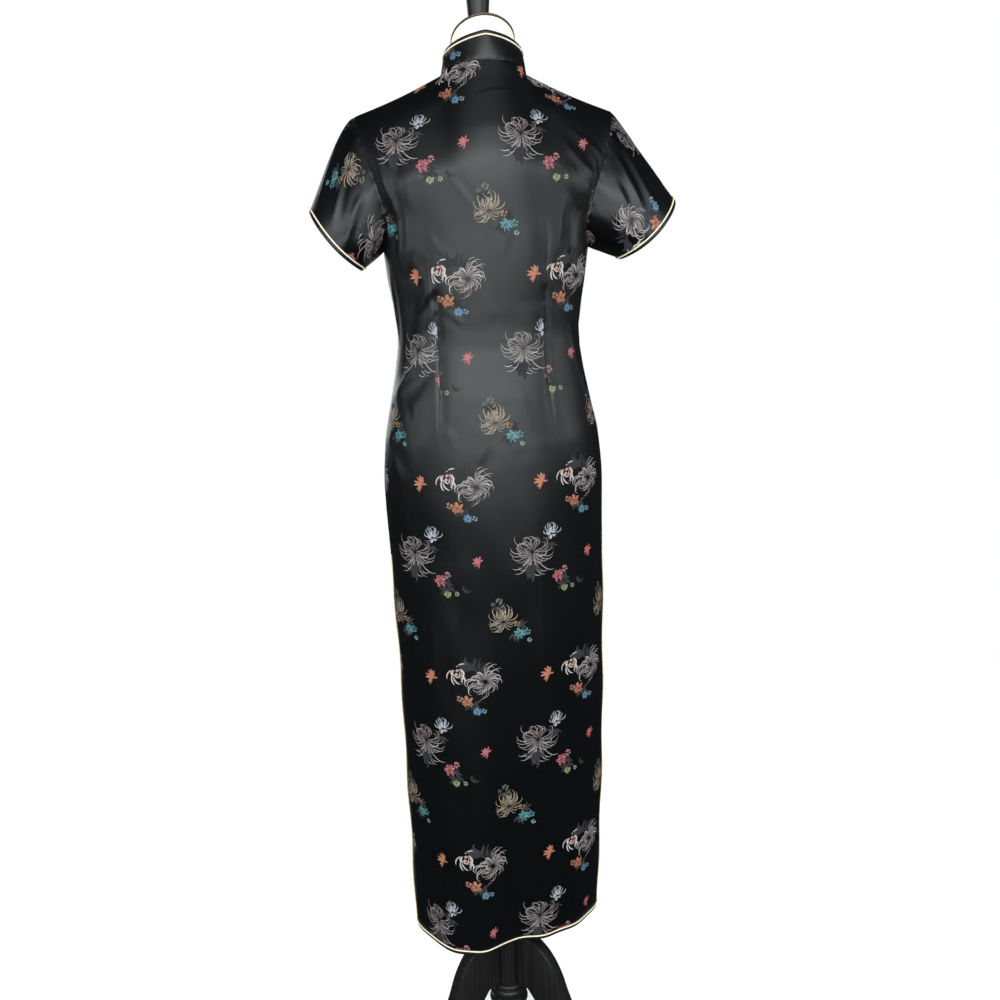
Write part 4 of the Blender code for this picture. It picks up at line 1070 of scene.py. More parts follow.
# Silk colours of the flowers, leaves and birds.
SILVER = (0.4, 0.35, 0.34)
PALE = (0.6, 0.55, 0.53)
MAUVE = (0.085, 0.06, 0.066)
GOLD = (0.15, 0.105, 0.055)
TAN = (0.36, 0.29, 0.21)
CREAM = (0.46, 0.38, 0.29)
BLUE_WHITE = (0.4, 0.45, 0.53)
PINK = (0.46, 0.085, 0.105)
ROSE = (0.52, 0.2, 0.23)
CRIMSON = (0.16, 0.012, 0.02)
GREEN = (0.27, 0.36, 0.14)
PALE_GREEN = (0.36, 0.42, 0.24)
DULL_GREEN = (0.1, 0.15, 0.11)
ORANGE = (0.55, 0.16, 0.055)
SALMON = (0.48, 0.22, 0.15)
BLUE = (0.07, 0.24, 0.42)
TEAL = (0.05, 0.29, 0.33)
PALE_TEAL = (0.22, 0.42, 0.42)
AMBER = (0.45, 0.21, 0.07)
LEAF = (0.009, 0.009, 0.012)
BIRD = (0.42, 0.13, 0.055)
BIRD_RED = (0.42, 0.08, 0.09)


@dataclass(frozen=True)
class Brocade:
    """The repeat: three chrysanthemums with small flowers, leaves and birds, in half drops.

    The large silvery flower is about 70 mm wide and stands at the cell's
    corner. The other places are charted in millimetres, to the right of it
    and above it, or of the group's own large flower.
    """

    width: float = 0.19
    height: float = 0.316

    def round_flower(self, chart: Chart, x: float, y: float, across: float, color: Color,
                     heart: Color = (0.05, 0.012, 0.01)) -> None:
        """Draw a round flower as wide as said: two rings of short broad petals about a dark heart."""
        r = across / 2
        pale = tuple(min(0.9, 0.95 * c + 0.14) for c in color)
        dull = tuple(0.35 * c for c in color)
        lobes = 6 if across < 13 else 12
        chart.rings(x, y, 4, (lobes, 0, 360, 0.3 * r, 0.7 * r, 3.6 * r / lobes, 0.3, 0.5, dull, color, 0.08))
        if lobes > 6:
            chart.rings(x, y, 4, (9, 20, 360, 0.22 * r, 0.5 * r, 0.3 * r, 0.6, 0.9, dull, pale, 0.2, 0.06))
            chart.rings(x, y, 3, (6, 50, 360, 0.08 * r, 0.36 * r, 0.26 * r, 0.8, 0.8, dull, color, 0.2, 0.1))
        chart.rings(x, y, 3, (4, 45, 360, 0, 0.2 * r, 0.22 * r, 0.3, 0.3, heart, dull, 0.2, 0.14))

    def round_flowers(self, chart: Chart, x: float, y: float, *rows: tuple) -> None:
        """Draw round flowers, each given by its place from the middle, its size and its colours."""
        for right, above, *look in rows:
            self.round_flower(chart, x + right, y + above, *look)

    def spider(self, chart: Chart) -> None:
        """Draw the large silvery flower with its small companions, about its middle."""
        chart.leaves(-4, -18, 200, 130, 6, 24)
        chart.leaves(30, 14, 180, 150, 5, 12, 4)
        chart.rings(
            0, 0, 8,
            (6, 150, 80, 4, 34, 1.3, -0.45, 2.6, MAUVE, SILVER, 0.12, 0, 90),
            (6, -50, 80, 4, 36, 1.3, -0.45, 2.5, MAUVE, SILVER, 0.14, 0.02, 90),
            (7, 230, 75, 4, 40, 1.4, -0.2, 1.6, MAUVE, PALE, 0.2, 0.04, 90),
            (7, 50, 80, 4, 31, 1.3, 0.2, 3.2, MAUVE, SILVER, 0.14, 0.04),
            (10, 0, 360, 4, 25, 1.2, -0.3, 2.6, MAUVE, SILVER, 0.22, 0.07, 90),
            (7, 190, 160, 3, 23, 1.3, -0.2, 1.8, MAUVE, PALE, 0.22, 0.1, 90),
            (8, 0, 360, 2, 14, 1.2, 0.2, 1.8, MAUVE, SILVER, 0.3, 0.13))
        chart.rings(
            34, 26, 7,
            (9, 0, 180, 3, 17, 1.8, -0.2, 1.9, MAUVE, BLUE_WHITE, 0.16, 0, 90),
            (9, 20, 160, 2, 10, 1.7, 0.2, 1.5, BLUE_WHITE, BLUE_WHITE, 0.2, 0.05, 90),
            (6, 200, 140, 2, 7, 1.7, 0.3, 1, BLUE_WHITE, PALE, 0.2, 0.08, 90))
        chart.leaves(52, -52, 200, 280, 7, 14, 4)
        chart.leaves(78, -60, -30, 120, 3, 10, 3)
        self.round_flowers(
            chart, 0, 0,
            (43, -44, 22, PINK, CRIMSON), (55, -34, 12, ROSE), (54, -65, 13, GREEN),
            (69, -64, 8, PALE_GREEN))

    def incurved(self, chart: Chart, x: float, y: float) -> None:
        """Draw the tan flower of incurved petals with teal and green companions."""
        chart.leaves(x - 4, y + 14, 60, 100, 4, 14, 4)
        chart.leaves(x + 26, y - 14, 20, 100, 4, 12, 4)
        chart.leaves(x + 20, y - 22, 190, 130, 4, 12, 4)
        chart.rings(
            x, y, 7,
            (11, -5, 190, 4, 26, 1.5, 0.4, 1.3, GOLD, TAN, 0.1, 0, 88),
            (7, 180, 90, 4, 22, 1.5, -0.2, 2.1, GOLD, TAN, 0.14, 0.03, 180),
            (4, -85, 80, 4, 16, 1.5, -0.2, 2, GOLD, TAN, 0.14, 0.03, 90),
            (8, 0, 180, 3, 19, 1.4, 0.6, 1.4, GOLD, CREAM, 0.12, 0.08, 80),
            (5, 180, 110, 3, 13, 1.4, 0.2, 1.8, MAUVE, SILVER, 0.18, 0.08, 180),
            (6, 0, 180, 1, 12, 1.3, 0.9, 1.2, GOLD, CREAM, 0.2, 0.12, 70))
        self.round_flowers(
            chart, x, y,
            (-5, 33, 12, DULL_GREEN), (-15, 28, 7, DULL_GREEN), (22, -6, 11, AMBER, GOLD),
            (25, -22, 20, TEAL, (0.01, 0.05, 0.06)), (38, -20, 12, TEAL, (0.01, 0.05, 0.06)),
            (41, -34, 8, PALE_TEAL))

    def fan(self, chart: Chart, x: float, y: float) -> None:
        """Draw the cream flower that fans up to the right, with hooked petals to the left and below."""
        chart.leaves(x - 24, y + 18, 50, 120, 7, 20, 5)
        chart.leaves(x - 8, y + 14, 60, 90, 3, 26, 3)
        chart.leaves(x - 22, y - 34, 190, 200, 6, 13, 4)
        chart.rings(
            x, y, 8,
            (8, 20, 85, 5, 31, 1.4, 0.1, 2, MAUVE, SILVER, 0.12, 0, 270),
            (6, -40, 70, 5, 23, 1.4, 0.3, 2.5, MAUVE, SILVER, 0.15, 0.03, 270),
            (4, 155, 40, 5, 36, 1.5, -0.1, 2.4, MAUVE, PALE, 0.15, 0.03, 270),
            (4, 105, 45, 5, 24, 1.5, 0.3, 2.6, MAUVE, PALE, 0.15, 0.04, 180),
            (8, 205, 95, 5, 26, 1.4, 0.4, 2.2, MAUVE, SILVER, 0.18, 0.05, 180),
            (7, 20, 90, 4, 22, 1.4, 0.2, 1.9, MAUVE, PALE, 0.15, 0.08, 270),
            (8, 180, 200, 3, 16, 1.4, 0.5, 2, MAUVE, PALE, 0.25, 0.11, 180))
        chart.rings(
            x - 46, y + 16, 7,
            (4, 80, 190, 9, 18, 2.4, 1.3, 0.3, SILVER, PALE, 0.08, 0, 270, 1, 0.9),
            (3, -25, 90, 8, 16, 2.3, 1.3, 0.3, SILVER, PALE, 0.08, 0.03, 270, 1, 0.8),
            (3, -70, 55, 8, 14, 1.8, 0.1, 1.8, SILVER, PALE, 0.1, 0.03, 180),
            (4, 90, 200, 5, 11, 2.2, 1.5, 0.3, CREAM, PALE, 0.1, 0.06, 270, 1, 1),
            (3, -40, 120, 5, 9, 2, 1.5, 0.3, ROSE, CREAM, 0.1, 0.06, 270, 1, 1),
            (4, 0, 360, 1, 5, 2.6, 1.2, 0.4, ROSE, CREAM, 0.2, 0.1))
        self.round_flowers(
            chart, x, y,
            (-30, -32, 22, ORANGE), (-43, -28, 11, SALMON), (-15, -48, 15, BLUE, (0.01, 0.05, 0.1)),
            (-4, -48, 9, (0.22, 0.34, 0.44), (0.01, 0.05, 0.1)))

    def birds(self, chart: Chart) -> None:
        """Draw the two small darting birds, each a few pointed feathers."""
        for x, y, size, turn, color in ((21, 111, 1.0, 0, BIRD), (-83, -12, 0.8, 15, BIRD_RED)):
            pale = tuple(min(0.9, 0.9 * c + 0.04) for c in color)
            chart.rings(
                x, y, 5,
                (3, 60 + turn, 85, 0, 13 * size, 5 * size, 0, 0.4, color, pale, 0.1),
                (2, 143 + turn, 44, 0, 15 * size, 4.4 * size, 0, 0.4, color, pale, 0.1),
                (2, 200 + turn, 60, 0, 13 * size, 4.4 * size, 0, 0.3, color, pale, 0.1),
                (1, turn, 30, 0, 9 * size, 4 * size, 0, 0.3, pale, color, 0.1, 0.03))

    def repeat(self) -> tuple[Array, Array, Array]:
        """Draw one whole repeat."""
        chart = Chart(7)
        self.spider(chart)
        self.incurved(chart, -50, 206)
        self.fan(chart, -82, 106)
        self.birds(chart)
        return chart.done()

    def weave(self, name: str, cloth: ClothGrid, origin: Pair, turn: float = 0.0,
              tucks: Sequence[Dart] = ()) -> Object:
        """Lay the repeat over a piece of cloth and drop what falls off it.

        Each place of the drawing is turned, moved to its cell and found on the
        cloth's grid, and its point is the cloth's, raised along the normal.

        Args:
            name: The new piece's name.
            cloth: The cloth under it.
            origin: Flat place of one large silvery flower's middle.
            turn: Angle of the weave on the cloth.
            tucks: Darts that swallow a part of the pattern and draw the rest in.

        Returns:
            The flowers as one piece.
        """
        points, quads, colors = self.repeat()
        c, s = cos(turn), sin(turn)
        flat_x, flat_y = cloth.across - origin[0], cloth.up - origin[1]
        cell_x, cell_y = (flat_x * c + flat_y * s) / self.width, (flat_y * c - flat_x * s) / self.height
        k, l = np.meshgrid(np.arange(math.floor(cell_x.min()) - 1, math.ceil(cell_x.max()) + 2),
                           np.arange(math.floor(cell_y.min()) - 1, math.ceil(cell_y.max()) + 2))
        x = (points[None, :, 0] + k.reshape(-1, 1) * self.width).ravel()
        y = (points[None, :, 1] + l.reshape(-1, 1) * self.height).ravel()
        lift, tints = np.tile(points[:, 2], k.size), np.tile(colors, (k.size, 1))
        faces = (quads[None] + np.arange(k.size)[:, None, None] * len(points)).reshape(-1, 4)
        x, y = origin[0] + x * c - y * s, origin[1] + x * s + y * c
        shown = np.ones(x.size, bool)
        for tuck in tucks:
            x, kept = tuck.tucked(x, y)
            shown &= kept
        i, j, inside = cloth.find(x, y)
        inside &= shown
        faces = faces[inside[faces].all(axis=1)]
        used, index = np.unique(faces, return_inverse=True)
        i, j = i[used], j[used]
        placed = cloth.read(cloth.points, i, j) + unit(cloth.read(cloth.normals, i, j)) * lift[used, None]
        made = Surface()
        made.add(placed)
        index = index.reshape(-1, 4)
        made.span(index, pack(x[used], y[used])[index])
        made.tints.append(tints[used])
        return made.make(name, Finish.THREAD, "brocade", sharp=80)


BROCADE = Brocade()


# ---- edge finishes
@dataclass(frozen=True)
class EdgeTrim:
    """Folded satin strip over a raw edge and the cream cord that lies against it."""

    width: float = BINDING_WIDTH
    proud: float = 0.0006
    cord: float = 0.0011
    cord_sides: int = 8
    sharpest: float = 0.35

    def away(self, edge: Array, normals: Array, closed: bool) -> Array:
        """Return mitred directions away from the panel, along an edge."""
        after = np.roll(edge, -1, axis=0) - edge
        before = edge - np.roll(edge, 1, axis=0)
        if not closed:
            after[-1], before[0] = before[-1], after[0]
        a, b = unit(np.cross(unit(before), normals)), unit(np.cross(unit(after), normals))
        return (a + b) / np.maximum(1 + (a * b).sum(-1, keepdims=True), self.sharpest)

    def strip_profile(self, wall: float) -> Array:
        """Return the folded strip: rounded nose, slightly full faces, over and under the edge."""
        under = -wall - 0.0005
        top, width = self.proud, self.width
        rows = ((0, under), (0, top * 0.6), (0.0006, top), (width * 0.45, top * 1.3), (width - 0.0009, top),
                (width, -0.0001), (width - 0.0008, under * 0.95), (width * 0.5, under * 1.1))
        return np.array(rows) + [SEAM, 0]

    def cord_profile(self) -> Array:
        """Return the cord's round section beside the strip."""
        turn = np.arange(self.cord_sides) / self.cord_sides * TURN
        return self.cord * pack(-1 - np.cos(turn), 0.9 + np.sin(turn)) - [0.0001, 0]

    def sew(self, name: str, edge: Array, normals: Array, closed: bool = False,
            wall: float = CLOTH_THICKNESS) -> list[Object]:
        """Carry both sections along an edge as two pieces that stand for its nodes.

        Args:
            name: The nodes' name without its last word.
            edge: Points along the cloth's edge.
            normals: The cloth's normals there.
            closed: The last point joins the first.
            wall: Thickness of the cloth.

        Returns:
            The strip and the cord.
        """
        away, lengths = self.away(edge, normals, closed), run_along(edge, 0)
        made = []
        for part, profile, finish in (("binding", self.strip_profile(wall), Finish.BINDING),
                                      ("piping", self.cord_profile(), Finish.CORD)):
            rings = edge[:, None] + away[:, None] * profile[:, :1] + normals[:, None] * profile[:, 1:]
            surface = Surface()
            surface.tube(rings, lengths, closed)
            node = f"{name}_{part}"
            made.append(surface.make(f"{node}_sewn", finish, part, [node], 50))
        return made


TRIM = EdgeTrim()


# ---- the dress
def axis_point() -> Array:
    """Return where the post's axis meets the floor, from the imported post."""
    low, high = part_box("stand_post")
    return np.array([(low[0] + high[0]) / 2, (low[1] + high[1]) / 2, 0.0])


@dataclass
class BodyPanel:
    """Back or front of the dress, from the bound hem to the neckline.

    Its rows are those of the slit skirt, of the rest below the underarm and of
    the yoke, and its rooms are how far in its cloth may sink.
    """

    side: Side
    axis: Array
    drape: Drape
    darts: tuple[Dart, ...]
    origin: Pair
    half_columns: int = 76
    rows: tuple[int, int, int] = (124, 108, 70)
    room: float = 0.0042
    yoke_room: float = 0.001
    seam_reach: float = 0.016
    neck_reach: float = 0.014
    slit_wave: Triple = (0.0012, 0.02, 0.16)
    placket: Table = Table("across height", (
        (0, 2), (0.1, 1.91), (0.25, 1.79), (0.45, 1.65), (0.65, 1.5), (0.85, 1.3), (1, 1.117)))
    placket_length: float = 0.17
    placket_clear: float = 0.008

    @property
    def name(self) -> str:
        """Name of the panel's node."""
        return f"{self.side.value}_panel"

    def levels(self) -> Array:
        """Return v of each row: the slit skirt, its one step, the bodice and the yoke."""
        skirt, bodice, yoke = self.rows
        f = FIGURE
        steps = np.arange(1, yoke + 1) / yoke
        return np.concatenate([
            np.linspace(f.share(f.hem_z + EDGE_INSET), f.share(f.slit_top_z - f.slit_step), skirt + 1),
            np.linspace(f.share(f.slit_top_z), 1.0, bodice + 1),
            1 + steps * (1 - 0.12 * np.sin(TURN * steps) / pi)])

    def reach(self, levels: Array) -> Array:
        """Return how near u comes to the edge in each row, leaving the slit's bound edge its room."""
        depth = FIGURE.sections.at(self.side.value, FIGURE.height(levels))
        per_u = depth * (pi / 2 - FIGURE.neck_turn) / (1 - FIGURE.neck_share)
        return 1 - np.where(levels < FIGURE.share(FIGURE.slit_top_z) - 1e-6, EDGE_INSET, 0.0) / per_u

    def flat_grid(self) -> ClothGrid:
        """Return the smooth panel.

        A place's flat coordinates are the length along its row from the
        middle, and the length up the middle line as far as the underarm's
        row, then up its own column.
        """
        levels = self.levels()
        share = np.arange(-self.half_columns, self.half_columns + 1) / self.half_columns
        u = -self.side.facing * share[None, :] * self.reach(levels)[:, None]
        v = np.repeat(levels[:, None], u.shape[1], axis=1)
        if self.side is Side.FRONT:
            right = (u < -1e-9) & (v > 1)
            stop = np.where(right, self.placket.at("height", np.abs(u)) - 1, 1.0)
            v = np.where(v > 1, 1 + (v - 1) * stop, v)
            bound = EDGE_INSET / self.placket_length * np.clip(levels[:, None] - 1, 0, 1) ** 2
            v = np.where(right, v - bound, v)
        points = self.eased(FIGURE.cloth(self.side, u, v), levels)
        points[..., 1] += self.side.facing * SEAM / 2
        points[..., 0] -= np.where((np.abs(u) > 1 - 1e-9) & (v > 1), np.sign(u) * SEAM / 2, 0.0)
        run = run_along(points, 1)
        middle, under = self.half_columns, len(levels) - 1 - self.rows[2]
        across = run - run[:, middle:middle + 1]
        up = np.repeat(run_along(points[:, middle], 0)[:, None] + EDGE_INSET, u.shape[1], axis=1)
        across[under:], rise = self.straight_grain(points[under:])
        up[under:] = up[under, middle] + rise
        return ClothGrid(points + self.axis, across, up)

    def eased(self, points: Array, levels: Array) -> Array:
        """Return the yoke eased across its columns by repeated averaging, its edges kept."""
        keep = ramp(levels, 1.02, 1.30) * (1 - ramp(levels, 1.90, 2.0))
        points = points.copy()
        for _ in range(60):
            between = (points[:, :-2] + points[:, 2:]) / 2
            points[:, 1:-1] += keep[:, None, None] * 0.5 * (between - points[:, 1:-1])
        return points

    def straight_grain(self, yoke: Array) -> tuple[Array, Array]:
        """Return the flat coordinates of the yoke, whose own rows rise and fall.

        The length across is walked along level cuts of the cloth; the length
        up is walked from cut to cut at an equal length across.
        """
        heights = np.linspace(yoke[0, 0, 2], yoke[..., 2].max(), 140)
        columns = range(yoke.shape[1])
        cuts = [[np.interp(heights, yoke[:, j, 2], yoke[:, j, k]) for j in columns] for k in (0, 1)]
        x, y = np.stack(cuts).swapaxes(1, 2)
        cut = np.cumsum(np.pad(np.hypot(np.diff(x, axis=1), np.diff(y, axis=1)), ((0, 0), (1, 0))), axis=1)
        cut -= cut[:, self.half_columns][:, None]
        across = np.stack([np.interp(yoke[:, j, 2], heights, cut[:, j]) for j in columns], axis=1)
        places = np.linspace(-0.27, 0.27, 181)
        lines = [[np.interp(places, *pair) for pair in zip(cut, values)] for values in (x, y)]
        lines = pack(*lines, heights[:, None])
        climb = ClothGrid.read(run_along(lines, 0), np.interp(yoke[..., 2], heights, np.arange(len(heights))),
                               np.interp(across, places, np.arange(len(places))))
        return across, climb

    def grid(self) -> ClothGrid:
        """Return the draped panel: creases, sewn darts, puckered seams, and nothing sunk into the form."""
        smooth = self.flat_grid()
        x, y = smooth.across, smooth.up
        slit = self.rows[0] + 1
        edge = np.minimum(x - x[:, :1], x[:, -1:] - x)
        sewn = ramp(np.arange(len(y))[:, None], slit - 4, slit + 4)
        held = (1 - sewn * (1 - ramp(edge, 0, self.seam_reach))) * ramp(y[-1:] - y, 0, self.neck_reach)
        offset = held * self.drape.offset(x, y) + sum(dart.offset(x, y) for dart in self.darts)
        offset = offset + sewn * pucker(edge, y)
        swing, reach, pitch = self.slit_wave
        flare = (1 - sewn) * swing * np.exp(-edge / reach) * np.sin(TURN * y / pitch + x[:, :1] * 9)
        level = np.clip((np.arange(len(y)) - (len(y) - 1 - self.rows[2])) / self.rows[2], 0, 1)[:, None]
        room = self.room + (self.yoke_room - self.room) * ramp(level, 0.45, 0.85)
        offset = np.where(offset < 0, -room * np.tanh(-offset / room), offset)
        return smooth.raised(offset + flare)

    def build(self) -> None:
        """Make the cloth, its flowers, its darts' folds and its bound edges."""
        grid = self.grid()
        cloth = grid.shell().make(f"{self.side.value}_cloth", Finish.SATIN, "brocade", [self.name])
        pieces = [BROCADE.weave(f"{self.side.value}_flowers", grid, self.origin, tucks=self.darts)]
        pieces += [dart.seam(grid, f"{self.side.value}_dart_{k}") for k, dart in enumerate(self.darts, 1)]
        last = self.rows[0]
        edges = [np.concatenate([a[last:0:-1, 0], a[0], a[1:last + 1, -1]])
                 for a in (grid.points, grid.normals)]
        pieces += TRIM.sew(f"{self.side.value}_slit_hem", *edges)
        if self.side is Side.FRONT:
            middle = self.half_columns
            start = next(k for k in range(middle, 0, -1) if abs(grid.across[-1, k]) > self.placket_clear)
            pieces += TRIM.sew("placket", grid.points[-1, start::-1], grid.normals[-1, start::-1])
        width = np.ptp(grid.across[:-self.rows[2]], axis=1).max()
        grid.declare(cloth, "hung", ["form_torso_padded"], pieces, width, grid.up.max())


@dataclass
class Underlap:
    """Small right front piece that shows above the placket and passes under it."""

    axis: Array
    front: BodyPanel
    drop: float = 0.22
    drop_at_armhole: float = 0.05
    depth: float = 0.0049
    base_up: float = 1.1434
    up_per_v: float = 0.27
    columns: int = 44
    rows: int = 44

    def grid(self) -> ClothGrid:
        """Return the piece: the front's own form, set back where the placket covers it."""
        u = np.linspace(-1, 0, self.columns + 1)
        top = self.front.placket.at("height", np.abs(u))
        low = top - self.drop_at_armhole - (self.drop - self.drop_at_armhole) * (1 - np.abs(u)) ** 0.5
        v = low[None, :] + (2 - low[None, :]) * np.linspace(0, 1, self.rows + 1)[:, None]
        u = np.repeat(u[None, :], self.rows + 1, axis=0)
        points = FIGURE.cloth(Side.FRONT, u, v)
        points[..., 1] -= SEAM / 2
        points[..., 0] += np.where(u < -1 + 1e-9, SEAM / 2, 0.0)
        covered = 1 - ramp(v - self.front.placket.at("height", np.abs(u)), 0.06, 0.17)
        middle = 1 - ramp(np.abs(u), FIGURE.neck_share * 0.4, FIGURE.neck_share * 1.2)
        sunk = self.depth * np.maximum(covered, middle)[..., None]
        points = points - FIGURE.normal(Side.FRONT, u, v) * sunk
        run = run_along(points, 1)
        up = run_along(points, 0) + self.base_up + (low - 1) * self.up_per_v
        return ClothGrid(points + self.axis, run - run[:, -1:], up)

    def build(self) -> None:
        """Make the cloth and its flowers."""
        grid = self.grid()
        cloth = grid.shell().make("underlap_cloth", Finish.SATIN, "brocade", ["front_underlap"])
        flowers = BROCADE.weave("underlap_flowers", grid, self.front.origin)
        width, length = np.ptp(grid.across), np.ptp(grid.up)
        grid.declare(cloth, "stretched", ["form_torso_padded"], [flowers], width, length)


@dataclass
class Sleeve:
    """Short set-in sleeve with a bound and corded hem.

    Outer and under give the distance aside and the height of the hem's two
    ends. The allowance is cloth turned in past the armhole's seam.
    """

    which: str
    axis: Array
    outer: Pair
    under: Pair
    half_depth: float
    cap: float
    origin: Pair
    grain: float
    drape: Drape
    sag: float = 0.009
    fullness: float = 0.006
    allowance: float = 0.003
    cap_spread: float = radians(50)
    columns: int = 120
    rows: int = 44

    @property
    def hand(self) -> float:
        """Sign of X of the sleeve's side."""
        return 1.0 if self.which == "left" else -1.0

    def armhole(self, turn: Array) -> Array:
        """Return the armhole at angles that share out its length: 0 the shoulder, a quarter turn behind."""
        v = np.linspace(1, 2, 200)
        u = np.full_like(v, self.hand)
        back, front = FIGURE.cloth(Side.BACK, u, v)[::-1], FIGURE.cloth(Side.FRONT, u, v)
        loop = np.concatenate([back, front[1:]])
        run = run_along(loop, 0) / run_along(loop, 0)[-1] * TURN
        return np.stack([np.interp(np.mod(turn, TURN), run, loop[:, k]) for k in range(3)], axis=-1)

    def grid(self) -> ClothGrid:
        """Return the sleeve: straight lines from the armhole to an oval hem, rounded over the cap.

        The hem is middle + half cos + depth sin, hanging lower at the back
        and front; the cap adds a bell about the shoulder and the fullness a
        half sine along the sleeve.
        """
        hand = self.hand
        turn = np.linspace(-pi, pi, self.columns + 1) * hand
        loop = self.armhole(turn)
        outer, under = (np.array([hand * x, 0, z]) for x, z in (self.outer, self.under))
        cosine, sine = np.cos(turn)[:, None], np.sin(turn)[:, None]
        hem = (outer + under) / 2 + (outer - under) / 2 * cosine + np.array([0, self.half_depth, 0]) * sine
        hem = hem + unit(np.array([hand * 0.35, 0, -0.94])) * self.sag * sine**2
        reach = 1 - EDGE_INSET / np.linalg.norm(hem - loop, axis=1)
        s = (np.linspace(1, 0, self.rows + 1)[:, None] * reach[None, :])[..., None]
        points = loop * (1 - s) + hem * s
        bell = np.exp(-((np.abs(turn) / self.cap_spread) ** 2))[None, :, None]
        points = points + np.array([hand * self.cap, 0, 0]) * np.sin(pi * np.sqrt(s)) * bell
        points = points + np.array([0, self.fullness, 0]) * sine[None] * np.sin(pi * s)
        points[-1] += np.array([hand * SEAM, 0, 0])
        points = np.concatenate([points, points[-1:] - np.array([hand * self.allowance, 0, 0])])
        run = run_along(points, 1)
        middle = self.columns // 2
        across, up = run - run[:, middle:middle + 1], run_along(points, 0) + EDGE_INSET
        flat = ClothGrid(points + self.axis, across, up, True)
        to_seam = flat.up[-2:-1] - flat.up
        offset = self.drape.offset(flat.across, flat.up) * ramp(to_seam, 0, 0.03)
        return flat.raised(offset + pucker(to_seam, flat.across, 0.0010, 0.006))

    def build(self) -> None:
        """Make the cloth, its flowers and its hem."""
        grid = self.grid()
        name = f"sleeve_{self.which}"
        cloth = grid.shell().make(f"{name}_cloth", Finish.SATIN, "brocade", [name])
        pieces = [BROCADE.weave(f"{name}_flowers", grid, self.origin, self.grain)]
        pieces += TRIM.sew(f"{name}_hem", grid.points[0, :-1], grid.normals[0, :-1], closed=True)
        width = np.ptp(grid.across, axis=1).max()
        grid.declare(cloth, "draped", ["back_cloth", "front_cloth"], pieces, width, grid.up.max())


@dataclass
class Collar:
    """Stand collar, open at the middle of the front, with rounded bound corners."""

    axis: Array
    heights: Triple = (0.0415, 0.031, 0.033)
    lift: float = 0.0014
    lean: float = 0.009
    ridge: float = 0.0035
    ridge_spread: float = radians(13)
    opening: float = 0.0011
    corner: float = 0.012
    thickness: float = 0.0016
    columns: int = 140
    rows: int = 14

    def point(self, turn: Array, rise: Array) -> Array:
        """Return the outer face: the neckline raised, leaning in, with a soft ridge behind."""
        inwards = unit(pack(np.sin(turn), np.cos(turn), 0))
        share = rise[..., None] / self.heights[0]
        ridge = self.ridge * np.exp(-((turn / self.ridge_spread) ** 2))[..., None] * share
        points = FIGURE.neck_line(turn) - inwards * self.lean * share + np.array([0, 1, 0]) * ridge
        points[..., 2] += self.lift + rise
        points[..., 0] += FIGURE.sway(points[..., 2])
        return points

    def grid(self) -> ClothGrid:
        """Return the collar, its top rounded down at the ends."""
        bound = (EDGE_INSET + self.opening / 2) / FIGURE.neck_half_width
        radius = self.corner - EDGE_INSET
        end = pi - bound
        near = radius / FIGURE.neck_half_width * (1 - np.cos(np.linspace(0, pi / 2, 10)))
        between = np.linspace(end - near[-1], near[-1] - end, self.columns)[1:-1]
        turn = np.concatenate([end - near, between, (near - end)[::-1]])
        past = np.clip(radius - (end - np.abs(turn)) * FIGURE.neck_half_width, 0, radius)
        full = smooth_curve((0, pi / 2, pi), self.heights, np.abs(turn)) - EDGE_INSET
        top = full - radius + np.sqrt(radius**2 - past**2)
        rise = np.linspace(0, 1, self.rows + 1)[:, None] * top[None, :]
        turns = np.repeat(turn[None, :], self.rows + 1, axis=0)
        points = self.point(turns, rise)
        run = run_along(points, 1)
        flat = ClothGrid(points + self.axis, run - run[:, run.shape[1] // 2][:, None], run_along(points, 0))
        soft = 0.0005 * np.sin(flat.across / 0.013 + 1.1) * np.sin(pi * rise / full.max())
        return flat.raised(soft + pucker(flat.up, flat.across, 0.0006, 0.003))

    def build(self) -> None:
        """Make the collar, its flowers and its bound edge."""
        grid = self.grid()
        cloth = grid.shell(self.thickness).make("collar_cloth", Finish.SATIN, "brocade", ["collar"])
        pieces = [BROCADE.weave("collar_flowers", grid, (0.040, -0.045))]
        edges = [np.concatenate([a[:-1, -1], a[-1, ::-1], a[-2::-1, 0]]) for a in (grid.points, grid.normals)]
        pieces += TRIM.sew("collar_edge", *edges, wall=self.thickness)
        width = np.ptp(grid.across, axis=1).max()
        grid.declare(cloth, "stretched", ["back_cloth", "front_cloth"], pieces, width, grid.up.max())


